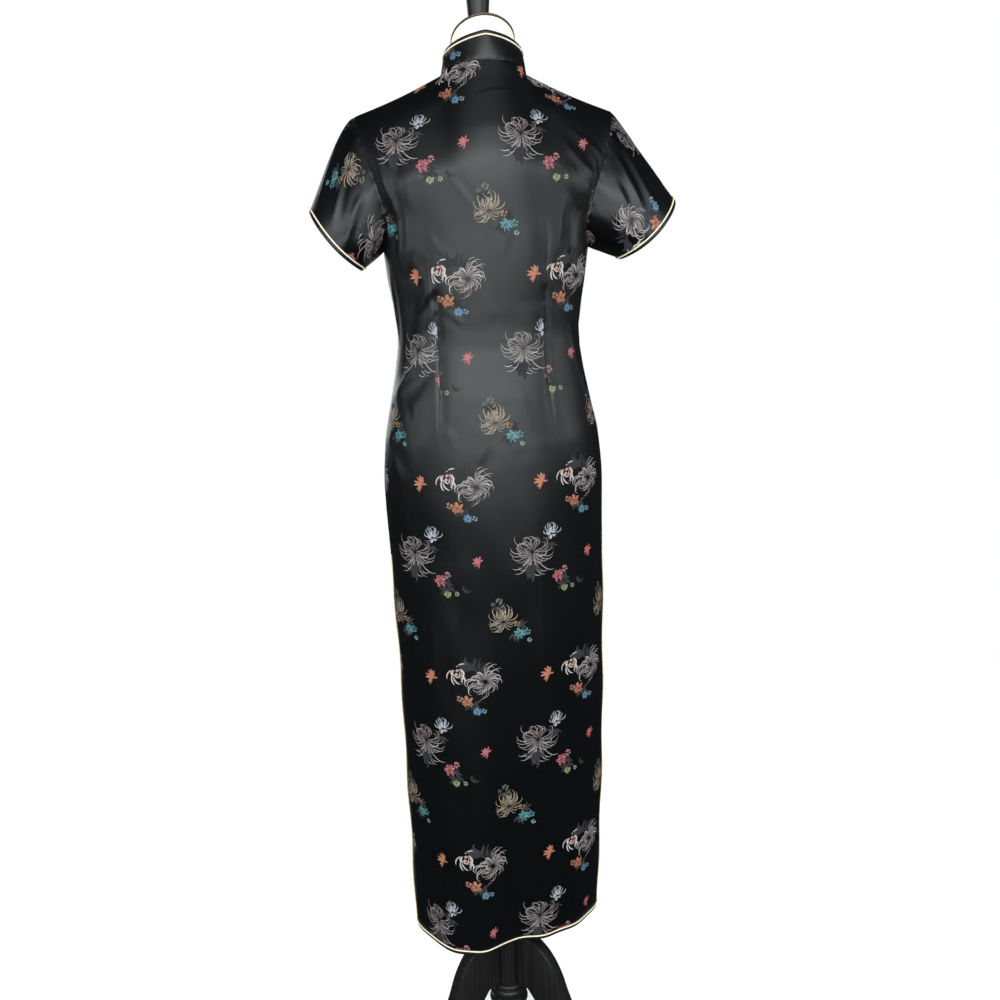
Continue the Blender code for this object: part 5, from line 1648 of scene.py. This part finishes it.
@dataclass
class Frog:
    """Straight knot closure: doubled satin cord each way, a ball and the loop round it."""

    name: str
    centre: Array
    direction: Array
    normal: Array
    half_length: float
    cord: float = 0.0012
    gap: float = 0.0014
    ball: float = 0.0045

    def strand(self, path: Array, closed: bool) -> tuple[Array, Array]:
        """Return rings of the cord and lengths for a path in (along, aside, out)."""
        aside = np.cross(self.normal, self.direction)
        points = self.centre + path @ np.stack([self.direction, aside, self.normal])
        if closed:
            tangent = unit(np.roll(points, -1, axis=0) - np.roll(points, 1, axis=0))
        else:
            tangent = unit(np.gradient(points, axis=0))
        side = unit(np.cross(self.normal, tangent))
        out = np.cross(tangent, side)
        turn = np.arange(8) / 8 * TURN
        rings = points[:, None] + self.cord * (np.cos(turn)[None, :, None] * side[:, None]
                                               + np.sin(turn)[None, :, None] * out[:, None])
        return rings, run_along(points, 0)

    def hairpin(self, hand: float) -> Array:
        """Return one side's doubled cord: out along the bar, round its end and back."""
        reach = self.half_length - self.gap - self.cord
        straight = np.linspace(0.003, reach, 14)
        bend = np.linspace(pi / 2, -pi / 2, 9)[1:-1]
        x = np.concatenate([straight, reach + self.gap * np.cos(bend), straight[::-1]])
        y = np.concatenate([np.full(14, self.gap), self.gap * np.sin(bend), np.full(14, -self.gap)])
        return pack(hand * x, y, 0)

    def build(self) -> None:
        """Make the bars, the loop and the knotted ball as one piece."""
        made = Surface()
        for hand in (-1.0, 1.0):
            made.tube(*self.strand(self.hairpin(hand), False), closed=False)
        turn = np.arange(28) / 28 * TURN
        radius = self.ball + self.cord * 0.7
        loop = pack(radius * np.cos(turn), radius * np.sin(turn), 0.0006)
        made.tube(*self.strand(loop, True), closed=True)
        level, around = np.linspace(-1.35, 1.35, 13)[:, None], np.arange(24)[None, :] / 24 * TURN
        swell = self.ball * (1 + 0.07 * np.sin(3 * around + 5 * level) * np.cos(level))
        aside = np.cross(self.normal, self.direction)
        ball = (self.centre + (swell * np.cos(level) * np.cos(around))[..., None] * self.direction
                + (swell * np.cos(level) * np.sin(around))[..., None] * aside
                + (swell * np.sin(level) * 0.85 + 0.0022)[..., None] * self.normal)
        made.tube(ball, run_along(ball[:, 0], 0), closed=False)
        made.make(f"{self.name}_knotted", Finish.BINDING, "binding", [self.name], 60)


@dataclass
class Frogs:
    """The three closures of the front."""

    axis: Array
    collar: Collar
    chest: Triple = (-0.4, 1.695, radians(52))
    side: Triple = (-0.8, 1.365, radians(38))
    half_length: float = 0.026
    lift: float = 0.0057
    collar_share: float = 0.42
    collar_half_length: float = 0.017
    collar_lift: float = 0.0049

    def build(self) -> None:
        """Place two on the placket and one on the collar."""
        for name, (across, height, turn) in (("frog_chest", self.chest), ("frog_side", self.side)):
            u, v = np.array(across), np.array(height)
            normal = FIGURE.normal(Side.FRONT, u, v)
            level = unit(np.array([1.0, 0, 0]) - normal * normal[0])
            direction = level * cos(turn) + np.cross(normal, level) * sin(turn)
            centre = FIGURE.cloth(Side.FRONT, u, v) + normal * self.lift + self.axis
            Frog(name, centre, direction, normal, self.half_length).build()
        normal = unit(np.array([0, -1.0, 0.12]))
        centre = self.collar.point(np.array(pi), np.array(self.collar.heights[2] * self.collar_share))
        Frog("frog_collar", centre + normal * self.collar_lift + self.axis, np.array([1.0, 0, 0]), normal,
             self.collar_half_length).build()


# ---- the form and its stand
@dataclass
class DressForm:
    """Padded torso in jersey with a slanted neck, its wooden cap and finial."""

    axis: Array
    base_z: float = 0.94
    clearance: float = 0.003
    touches_from: float = 1.8
    ease: Table = Table("z ease", ((0.940, 0.0085), (1.050, 0.0080), (1.245, 0.0070), (1.378, 0.0070)))
    neck_ease: float = 0.009
    arm_inset: float = 0.004
    rim: tuple[float, ...] = (1.6855, 0.69, -0.005, 0.048, 0.045)
    throat: tuple[float, ...] = (1.664, 0.36, 0.0515, 0.049)
    plate: float = 0.0035
    overhang: float = 0.001
    finial: Table = Table("height radius", (
        (0, 0.0148), (0.015, 0.015), (0.03, 0.0158), (0.045, 0.0168), (0.06, 0.018), (0.07, 0.0185),
        (0.079, 0.0172), (0.0855, 0.013), (0.0892, 0.007)))
    level_from: float = 0.03
    finial_top: float = 1.784
    rows: tuple[int, int] = (60, 40)
    neck_columns: int = 14
    side_columns: int = 22

    def oval(self, turn: Array, level: float, slope: float, wide: float, deep: float) -> Array:
        """Return a slanted oval of the neck: it rises with its depth to the back.

        Args:
            turn: Angles from the back.
            level: Height of its middle.
            slope: Rise for each metre to the back.
            wide: Half its width.
            deep: Half its depth.
        """
        back = deep * np.cos(turn)
        x = wide * np.sin(turn) + FIGURE.sway(level)
        return pack(x, self.rim[2] + back, level + slope * back)

    def build_torso(self) -> None:
        """Make the torso as rings of back and front inside the cloth, and the neck above them."""
        share = FIGURE.neck_share
        neck = np.linspace(-share, share, 2 * self.neck_columns + 1)
        beyond = np.linspace(share, 1, self.side_columns + 1)[1:]
        columns = np.concatenate([-beyond[::-1], neck, beyond])
        steps = np.arange(1, self.rows[1] + 1) / self.rows[1]
        levels = np.concatenate([np.linspace(FIGURE.share(self.base_z), 1, self.rows[0]),
                                 1 + (1 - np.cos(pi * steps)) / 2])
        u, v = np.meshgrid(columns, levels)
        ease = np.interp(FIGURE.height(v), self.ease.column("z"), self.ease.column("ease"))
        ease = ease + (self.clearance - ease) * ramp(v, self.touches_from, 2.0)
        pull = self.neck_ease * ramp(v, 1.80, 2.0) * (1 - ramp(np.abs(u), share, share + 0.12))
        both = unit(FIGURE.normal(Side.BACK, u, v) + FIGURE.normal(Side.FRONT, u, v))
        shared = (np.abs(u) > 1 - 1e-9) | (v > 2 - 1e-9) & (np.abs(u) > share - 1e-9)
        loops = []
        for side in Side:
            normals = np.where(shared[..., None], both, FIGURE.normal(side, u, v))
            points = FIGURE.cloth(side, u, v) - normals * ease[..., None]
            hollow = self.arm_inset * np.sin(pi * np.clip(v - 1, 0, 1)) ** 0.5
            points[..., 0] -= np.sign(u) * np.where((np.abs(u) > 1 - 1e-9) & (v > 1), hollow, 0)
            points[..., 0] += (FIGURE.sway(points[..., 2]) - points[..., 0]) * pull / FIGURE.neck_half_width
            points[..., 1] -= pull * side.facing * (1 - ramp(np.abs(u), 0, share))
            loops.append(points)
        ring = np.concatenate([loops[0], loops[1][:, ::-1]], axis=1) + self.axis
        made = Surface()
        width, count = len(columns), len(levels)
        made.grid(ring, wrap_columns=True)
        made.fan(np.arange(2 * width)[::-1], ring[0].mean(axis=0))
        inside = np.flatnonzero(np.abs(columns) < share + 1e-9)
        last = (count - 1) * 2 * width
        loop = np.concatenate([inside, width + (width - 1 - inside[::-1])])
        base = ring[-1, loop] - self.axis
        turn = np.arctan2(base[:, 0] - FIGURE.sway(1.64), base[:, 1] - FIGURE.neck_side[0])
        level, slope, wide, deep = self.throat
        low = self.oval(turn, level, slope, wide, deep)
        top = self.oval(turn, self.rim[0], self.rim[1], *self.rim[3:])
        t = np.linspace(0, 1, 15)[:, None, None]
        neck_points = base * (1 - t) * (1 - 2 * t) + low * 4 * t * (1 - t) + top * t * (2 * t - 1) + self.axis
        first = made.grid(neck_points, wrap_columns=True)
        made.fan(first + 14 * len(loop) + np.arange(len(loop)), neck_points[-1].mean(axis=0))
        made.seal()
        made.make("form_torso_padded", Finish.JERSEY, "form_cover", ["form_torso"], 50, weld=2e-5)

    def build_cap(self) -> None:
        """Make the thin wooden plate with eased edges on the slanted neck."""
        turn = np.arange(64) / 64 * TURN
        level, slope, _, wide, deep = self.rim
        top = self.plate
        rows = ((0.012, 0), (0.0006, 0), (0, 0.0006), (0, top - 0.0008), (0.0008, top), (0.012, top + 0.0002))
        rings = [self.oval(turn, level, slope, wide + self.overhang - inset, deep + self.overhang - inset)
                 + np.array([0, 0, SEAM + lift]) for inset, lift in rows]
        made = Surface()
        made.tube(np.stack(rings) + self.axis, np.linspace(0, 0.05, len(rows)), closed=False)
        made.make("form_neck_cap_turned", Finish.RIM_WOOD, "cap_wood", ["form_neck_cap"])

    def build_finial(self) -> None:
        """Turn the finial on the axis; its foot follows the plate's slant and levels out above."""
        foot = self.rim[0] - self.rim[1] * self.rim[2] + self.plate + 2 * SEAM
        top, neck = self.finial.rows[-1]
        heights = np.concatenate([np.linspace(0, 0.07, 22), np.linspace(0.0725, top, 12)])
        radius = self.finial.at("radius", heights)
        close = neck * np.cos(np.linspace(0.25, pi / 2, 6)[:-1])[:, None]
        crown = foot + top + (self.finial_top - foot - top) * np.linspace(0.15, 1, 6)[:-1]
        turn = np.arange(48) / 48 * TURN
        x, y = radius[:, None] * np.sin(turn), radius[:, None] * np.cos(turn)
        slope = self.rim[1] * (1 - np.minimum(1.0, heights / self.level_from))[:, None]
        body = pack(x, y, foot + heights[:, None] + slope * y)
        tip = pack(close * np.sin(turn), close * np.cos(turn), crown[:, None])
        made = Surface()
        rings = np.concatenate([body, tip]) + self.axis
        made.tube(rings, np.linspace(0, 0.1, len(rings)), closed=False)
        made.make("form_finial_turned", Finish.BLACK_WOOD, "stand_wood", ["form_finial"])

    def build(self) -> None:
        """Make the form from the base up."""
        self.build_torso()
        self.build_cap()
        self.build_finial()


@dataclass
class Stand:
    """Turned post with a flange, on three sawn and eased legs."""

    axis: Array
    turn: float = radians(-5)
    post_radius: float = 0.023
    post_top: float = 0.9396
    flange: Pair = (0.045, 0.012)
    post: Rows = (
        (0.034, 0.006), (0.036, 0.0125), (0.044, 0.019), (0.054, 0.0215), (0.062, 0.0195), (0.067, 0.024),
        (0.072, 0.0315), (0.079, 0.0335), (0.086, 0.0318), (0.088, 0.0288), (0.091, 0.0312),
        (0.096, 0.0322), (0.101, 0.0305), (0.103, 0.0275), (0.106, 0.029), (0.11, 0.028), (0.113, 0.023))
    leg_angles: tuple[float, ...] = (60, 180, 300)
    half_thick: float = 0.0125
    eased: float = 0.0022
    foot_reach: float = 0.262
    top_edge: Rows = (
        (0.03, 0.213), (0.055, 0.203), (0.08, 0.182), (0.1, 0.15), (0.115, 0.11), (0.13, 0.078),
        (0.16, 0.053), (0.205, 0.037), (0.245, 0.027))
    under_edge: Rows = (
        (0.21, 0.011), (0.165, 0.016), (0.12, 0.028), (0.09, 0.048), (0.07, 0.075), (0.045, 0.11))
    root: Pair = (0.118, 0.218)

    def along(self, rows: Sequence[Pair], count: int) -> Array:
        """Return evenly spaced points on the smooth curve through rows."""
        rows = np.array(rows)
        run = run_along(rows, 0)
        at = np.linspace(0, run[-1], count)
        return pack(smooth_curve(run, rows[:, 0], at), smooth_curve(run, rows[:, 1], at))

    def build_post(self) -> None:
        """Turn the post's profile round the axis."""
        (wide, thick), top, neck, eased = self.flange, self.post_top, self.post[-1][1], 0.0012
        low = top - thick
        flange = ((0.3, neck), (0.6, neck), (low - 0.010, neck), (low - 0.004, neck + 0.004),
                  (low, wide - eased), (low + eased, wide), (top - eased, wide), (top, wide - eased))
        profile = np.concatenate([self.along(self.post, 90), flange])
        turn = np.arange(64) / 64 * TURN
        height, radius = profile[:, :1], profile[:, 1:]
        rings = pack(radius * np.cos(turn), radius * np.sin(turn), height)
        made = Surface()
        made.tube(rings + self.axis, profile[:, 0], closed=False)
        made.make("stand_post_turned", Finish.BLACK_WOOD, "stand_wood", ["stand_post"], 35)

    def outline(self) -> Array:
        """Return the leg from the side as (distance, height), round from the root's lower corner."""
        start = self.post_radius + SEAM
        reach = self.foot_reach
        root = pack(start, np.linspace(*self.root, 3))
        arc = np.linspace(0, pi / 2, 6)
        toe = pack(reach - 0.014 + 0.014 * np.sin(arc), 0.0105 + 0.0130 * np.cos(arc))
        sole = np.array([(reach, 0.004), (reach - 0.001, 0.0), (0.2400, 0.0), (0.2120, 0.0)])
        top, under = self.along(self.top_edge, 40), self.along(self.under_edge, 30)
        return np.concatenate([root, top, toe, sole, under])

    def build_leg(self, index: int, degrees: float) -> None:
        """Saw one leg: its outline on both sides, drawn in a little where the edges are eased."""
        outline = self.outline()
        along = unit(np.roll(outline, -1, axis=0) - np.roll(outline, 1, axis=0))
        inwards = pack(along[:, 1], -along[:, 0])
        inner = outline + inwards * self.eased
        inner[:, 1] = np.maximum(inner[:, 1], 0.0)
        soft = outline + inwards * self.eased * 0.3
        soft[:, 1] = np.maximum(soft[:, 1], 0.0)
        t, e = self.half_thick, self.eased
        half = ((inner, t), (soft, t - 0.3 * e), (outline, t - e))
        rows = [(line, -offset) for line, offset in half] + [*reversed(half)]
        angle = radians(90 - degrees) + self.turn
        rings = []
        for line, offset in rows:
            x = line[:, 0] * cos(angle) - offset * sin(angle)
            y = line[:, 0] * sin(angle) + offset * cos(angle)
            rings.append(pack(x, y, line[:, 1]))
        made = Surface()
        rings = np.stack(rings) + self.axis
        first = made.grid(rings, wrap_columns=True)
        count = len(outline)
        for ring in (first + np.arange(count)[::-1], first + 5 * count + np.arange(count)):
            made.span(ring[None, :])
        made.seal()
        made.make(f"stand_leg_{index}_sawn", Finish.BLACK_WOOD, "stand_wood", [f"stand_leg_{index}"], 30)

    def build(self) -> None:
        """Make the post and the legs."""
        self.build_post()
        for index, degrees in enumerate(self.leg_angles, start=1):
            self.build_leg(index, degrees)


# ---- the studio
@dataclass
class Studio:
    """Pale floor, soft lights and the camera.

    The focal length and the frame's offset are in pixels of a frame of 1000,
    and the world's brightness is what the camera, diffuse and glossy rays see.
    """

    axis: Array
    focal: float = 1165.0
    away: float = 1.86
    height: float = 1.35
    pitch: float = radians(11.25)
    yaw: float = radians(5)
    roll: float = radians(1.8)
    offset: float = 6.5
    world: Triple = (1.0, 0.95, 0.03)
    daylight: Color = (0.94, 1, 1)
    chest: Triple = (0, 0, 1.2)
    floor_reach: float = 14.0
    lights: tuple[tuple[str, Triple, float, float, float], ...] = (
        ("window_high", (0.1, 2.35, 2.32), 3.4, 1.2, 50.0),
        ("window_middle", (0.1, 2.35, 1.41), 3.4, 0.62, 9.0),
        ("window_low", (0.1, 2.35, 0.84), 3.4, 0.52, 22.0),
        ("ceiling_soft", (0.1, 1.3, 3.3), 2.4, 1.4, 6.0),
        ("left_soft", (1.9, 0.9, 1.5), 0.9, 1.2, 8.0),
        ("right_soft", (-1.9, 0.9, 1.5), 0.9, 1.2, 8.0),
        ("front_soft", (0.3, -2.3, 1.45), 3.0, 1.3, 34.0))

    def camera(self) -> None:
        """Stand the camera behind the dress, looking a little down at the axis."""
        at = np.array([self.away * math.tan(self.yaw), self.away, self.height])
        level = unit(-at * np.array([1, 1, 0]))
        ahead = level * cos(self.pitch) - np.array([0, 0, sin(self.pitch)])
        right = unit(np.cross(ahead, (0, 0, 1)))
        up = np.cross(right, ahead)
        c, s = cos(self.roll), sin(self.roll)
        right, up = c * right - s * up, s * right + c * up
        lens = bpy.data.cameras.new("camera")
        lens.sensor_width, lens.lens = 36.0, self.focal * 36.0 / 1000
        lens.shift_x = self.offset / 1000
        axes = np.stack([right, up, -ahead], axis=1)
        bpy.context.scene.camera = put("camera", lens, axes, at + self.axis)

    def light(self, name: str, at: tuple[float, ...], width: float, height: float, power: float) -> None:
        """Hang one soft light that faces the chest."""
        lamp = bpy.data.lights.new(name, "AREA")
        lamp.shape, lamp.size, lamp.size_y, lamp.energy = "RECTANGLE", width, height, power
        lamp.color = self.daylight
        place = np.array(at) + self.axis
        back = unit(place - (self.axis + self.chest))
        across = unit(np.cross((0, 0, 1) if abs(back[2]) < 0.98 else (0, 1, 0), back))
        axes = np.stack([across, np.cross(back, across), back], axis=1)
        put(name, lamp, axes, place).visible_camera = False

    def sky(self) -> None:
        """Surround the scene with white that reflections see only dimly."""
        world = bpy.context.scene.world = bpy.data.worlds.new("studio")
        n = Nodes(world, "Background")
        seen, diffuse, glossy = self.world
        to_camera = n.node("ShaderNodeLightPath", output="Is Camera Ray")
        to_gloss = n.node("ShaderNodeLightPath", output="Is Glossy Ray")
        dim = to_gloss * (glossy - diffuse) + diffuse
        n.dress(Color=(1, 1, 1, 1), Strength=(1 - to_camera) * dim + to_camera * seen)

    def floor(self) -> None:
        """Lay the floor, a fine disc about the stand."""
        radius = np.concatenate([[0.02], np.geomspace(0.1, self.floor_reach, 24)])[:, None]
        turn = np.arange(72)[None, :] / 72 * TURN
        rings = pack(radius * np.cos(turn), radius * np.sin(turn), -0.0002)
        made = Surface()
        first = made.grid(rings + self.axis, wrap_columns=True)
        made.fan(first + np.arange(72), self.axis - np.array([0, 0, 0.0002]))
        made.faces = [part[:, ::-1] for part in made.faces]
        piece = made.make("floor", Finish.FLOOR)
        piece.visible_glossy = False

    def build(self) -> None:
        """Set up the camera, the lights and the floor."""
        self.camera()
        for row in self.lights:
            self.light(*row)
        self.sky()
        self.floor()
        bpy.context.scene.view_settings.view_transform = "Standard"


# ---- the build
# Folds are placed to the nearest half centimetre: across from the
# middle line, positive to the right as seen from outside, and up from the hem.
BACK_CREASES = folds(
    # down beside the left armhole
    (-185, 1315, -165, 1265, 4.5, 1.6), (-175, 1275, -150, 1205, 5, 2.2),
    (-155, 1245, -150, 1135, 5.5, 2.8, 4), (-175, 1230, -160, 1185, 6, -2),
    # across the back
    (-65, 1250, 10, 1140, 5.5, 1, 4), (-100, 1170, -60, 1125, 6, 1.2), (-120, 1130, -110, 1095, 7, 1.4),
    (20, 1185, 15, 1130, 9, 1),
    # over the right shoulder blade and down beside that armhole
    (125, 1325, 190, 1280, 6, 2.6), (115, 1300, 175, 1245, 8, 2.2, -4), (170, 1280, 185, 1195, 6, 2.6),
    (155, 1240, 165, 1165, 5.5, 2, 3), (110, 1220, 105, 1140, 9, 2),
    # under the collar
    (-25, 1365, 45, 1375, 4, 1, 6),
    # from the darts to the sides at the waist
    (-95, 1075, -105, 1025, 6, 1.6, 4), (-95, 1020, -180, 920, 12, 6, 8),
    (-85, 1040, -40, 1005, 9, 0.6), (-180, 1110, -175, 1000, 6, 1.8), (130, 1030, 150, 960, 7, 2),
    (150, 960, 195, 870, 8, 3.6, -4), (115, 1100, 130, 1075, 6, -1.8), (160, 1030, 170, 990, 7, 1.8),
    # broad hollows beside the darts
    (-120, 1150, -150, 970, 20, -5.2, 6), (-150, 1260, -165, 1120, 13, -3.6),
    (130, 1200, 145, 1060, 15, -4.2, -4), (-90, 1090, -120, 1050, 6.5, 2.4),
    (-75, 1060, -45, 1030, 6, 1.2), (80, 1200, 85, 1100, 10, -2.2),
    # soft ones over the seat
    (15, 930, 80, 895, 12, 0.6, 4), (-15, 870, -30, 820, 10, 1.4), (-85, 875, -65, 850, 8, 1),
    (-175, 885, -200, 850, 8, 1.8),
    # long ones down the skirt
    (-185, 835, -165, 790, 10, 1.8), (-85, 590, -90, 460, 16, 1.6), (170, 725, 175, 515, 12, 2.2, -4),
    (-120, 560, -150, 230, 20, 3, 6), (60, 620, 70, 300, 22, 2.2, -6),
    # crumpled patches
    (-150, 1180, 35, 70, 1.8), (150, 1230, 35, 70, 1.6), (-105, 1120, 35, 40, 1.3),
    (-150, 900, 55, 60, 1.4), (120, 1130, 50, 60, 1.4), (60, 880, 110, 60, 0.6),
    (0, 1060, 120, 100, 0.4), (-125, 1030, 40, 60, 0.8))
BACK_DARTS = (
    Dart((-0.09, 0.86), (-0.085, 1.000), (-0.095, 1.14), 0.03),
    Dart((0.09, 0.86), (0.08, 1.000), (0.085, 1.165), 0.02))
FRONT_CREASES = folds(
    (-190, 1250, -130, 1170, 6, 2.2), (190, 1240, 140, 1170, 6, 2.2),
    (-160, 1120, -90, 1080, 8, 1.8, 4), (170, 1130, 110, 1070, 8, 1.8),
    (-130, 1020, -50, 980, 9, 1.8, 6), (120, 1010, 60, 960, 9, 1.6), (-30, 1000, 40, 985, 7, 1),
    (200, 900, 100, 850, 10, 2, 5), (-210, 890, -110, 830, 11, 2, -5), (-40, 900, 50, 860, 12, 1.2),
    (150, 800, 170, 560, 15, 2.6, 4), (-160, 780, -150, 500, 15, 2.4), (80, 600, 100, 240, 20, 2.6),
    (-70, 560, -90, 220, 20, 2.4), (-140, 1170, 40, 60, 0.9), (150, 1180, 40, 60, 0.9),
    (130, 910, 60, 50, 0.8), (-120, 980, 50, 50, 0.7))
FRONT_DARTS = (
    Dart((-0.085, 0.87), (-0.083, 1.000), (-0.088, 1.13), 0.02),
    Dart((0.085, 0.87), (0.083, 1.000), (0.088, 1.13), 0.02))
# On a sleeve, across is from the shoulder point and up is from the hem.
LEFT_SLEEVE_CREASES = folds(
    (50, 115, 85, 20, 7, 2.6, 4), (115, 90, 120, 15, 8, 3), (150, 75, 165, 20, 7, -2.4),
    (-60, 110, -90, 20, 8, 2.4), (-130, 80, -140, 15, 8, 2.6), (10, 120, 30, 30, 9, 1.6),
    (140, 60, 40, 35, 0.9), (-140, 60, 40, 35, 0.9))
RIGHT_SLEEVE_CREASES = folds(
    (-45, 125, -80, 20, 6, 2.6, -4), (-75, 125, -105, 35, 6, 2.6), (-110, 100, -135, 20, 6, 2.4),
    (-150, 70, -160, 20, 7, -2.2), (60, 110, 85, 20, 8, 2.4), (135, 80, 140, 15, 8, 2.6),
    (-10, 120, -20, 30, 9, 1.6), (-110, 70, 45, 40, 0.8), (140, 60, 40, 35, 0.9))
WEAVE_ORIGIN = (0.045, 0.045)
FRONT_ORIGIN = (0.020, 0.045)
CROSSWISE = radians(90)


def main() -> None:
    """Build every piece in order."""
    logging.basicConfig(level=logging.INFO, format="%(message)s")
    axis = axis_point()
    Studio(axis).build()
    back = BodyPanel(Side.BACK, axis, Drape(BACK_CREASES), BACK_DARTS, WEAVE_ORIGIN)
    front = BodyPanel(Side.FRONT, axis, Drape(FRONT_CREASES, shift=1.3), FRONT_DARTS, FRONT_ORIGIN)
    DressForm(axis).build()
    Stand(axis).build()
    back.build()
    front.build()
    Underlap(axis, front).build()
    Sleeve("left", axis, (0.270, 1.442), (0.195, 1.352), 0.062, 0.009, (0.180, 0.048), -CROSSWISE,
           Drape(LEFT_SLEEVE_CREASES, shift=0.7)).build()
    Sleeve("right", axis, (0.300, 1.446), (0.215, 1.358), 0.063, 0.002, (-0.021, 0.127), CROSSWISE,
           Drape(RIGHT_SLEEVE_CREASES, shift=2.1)).build()
    collar = Collar(axis)
    collar.build()
    Frogs(axis, collar).build()


if __name__ == "__main__":
    main()
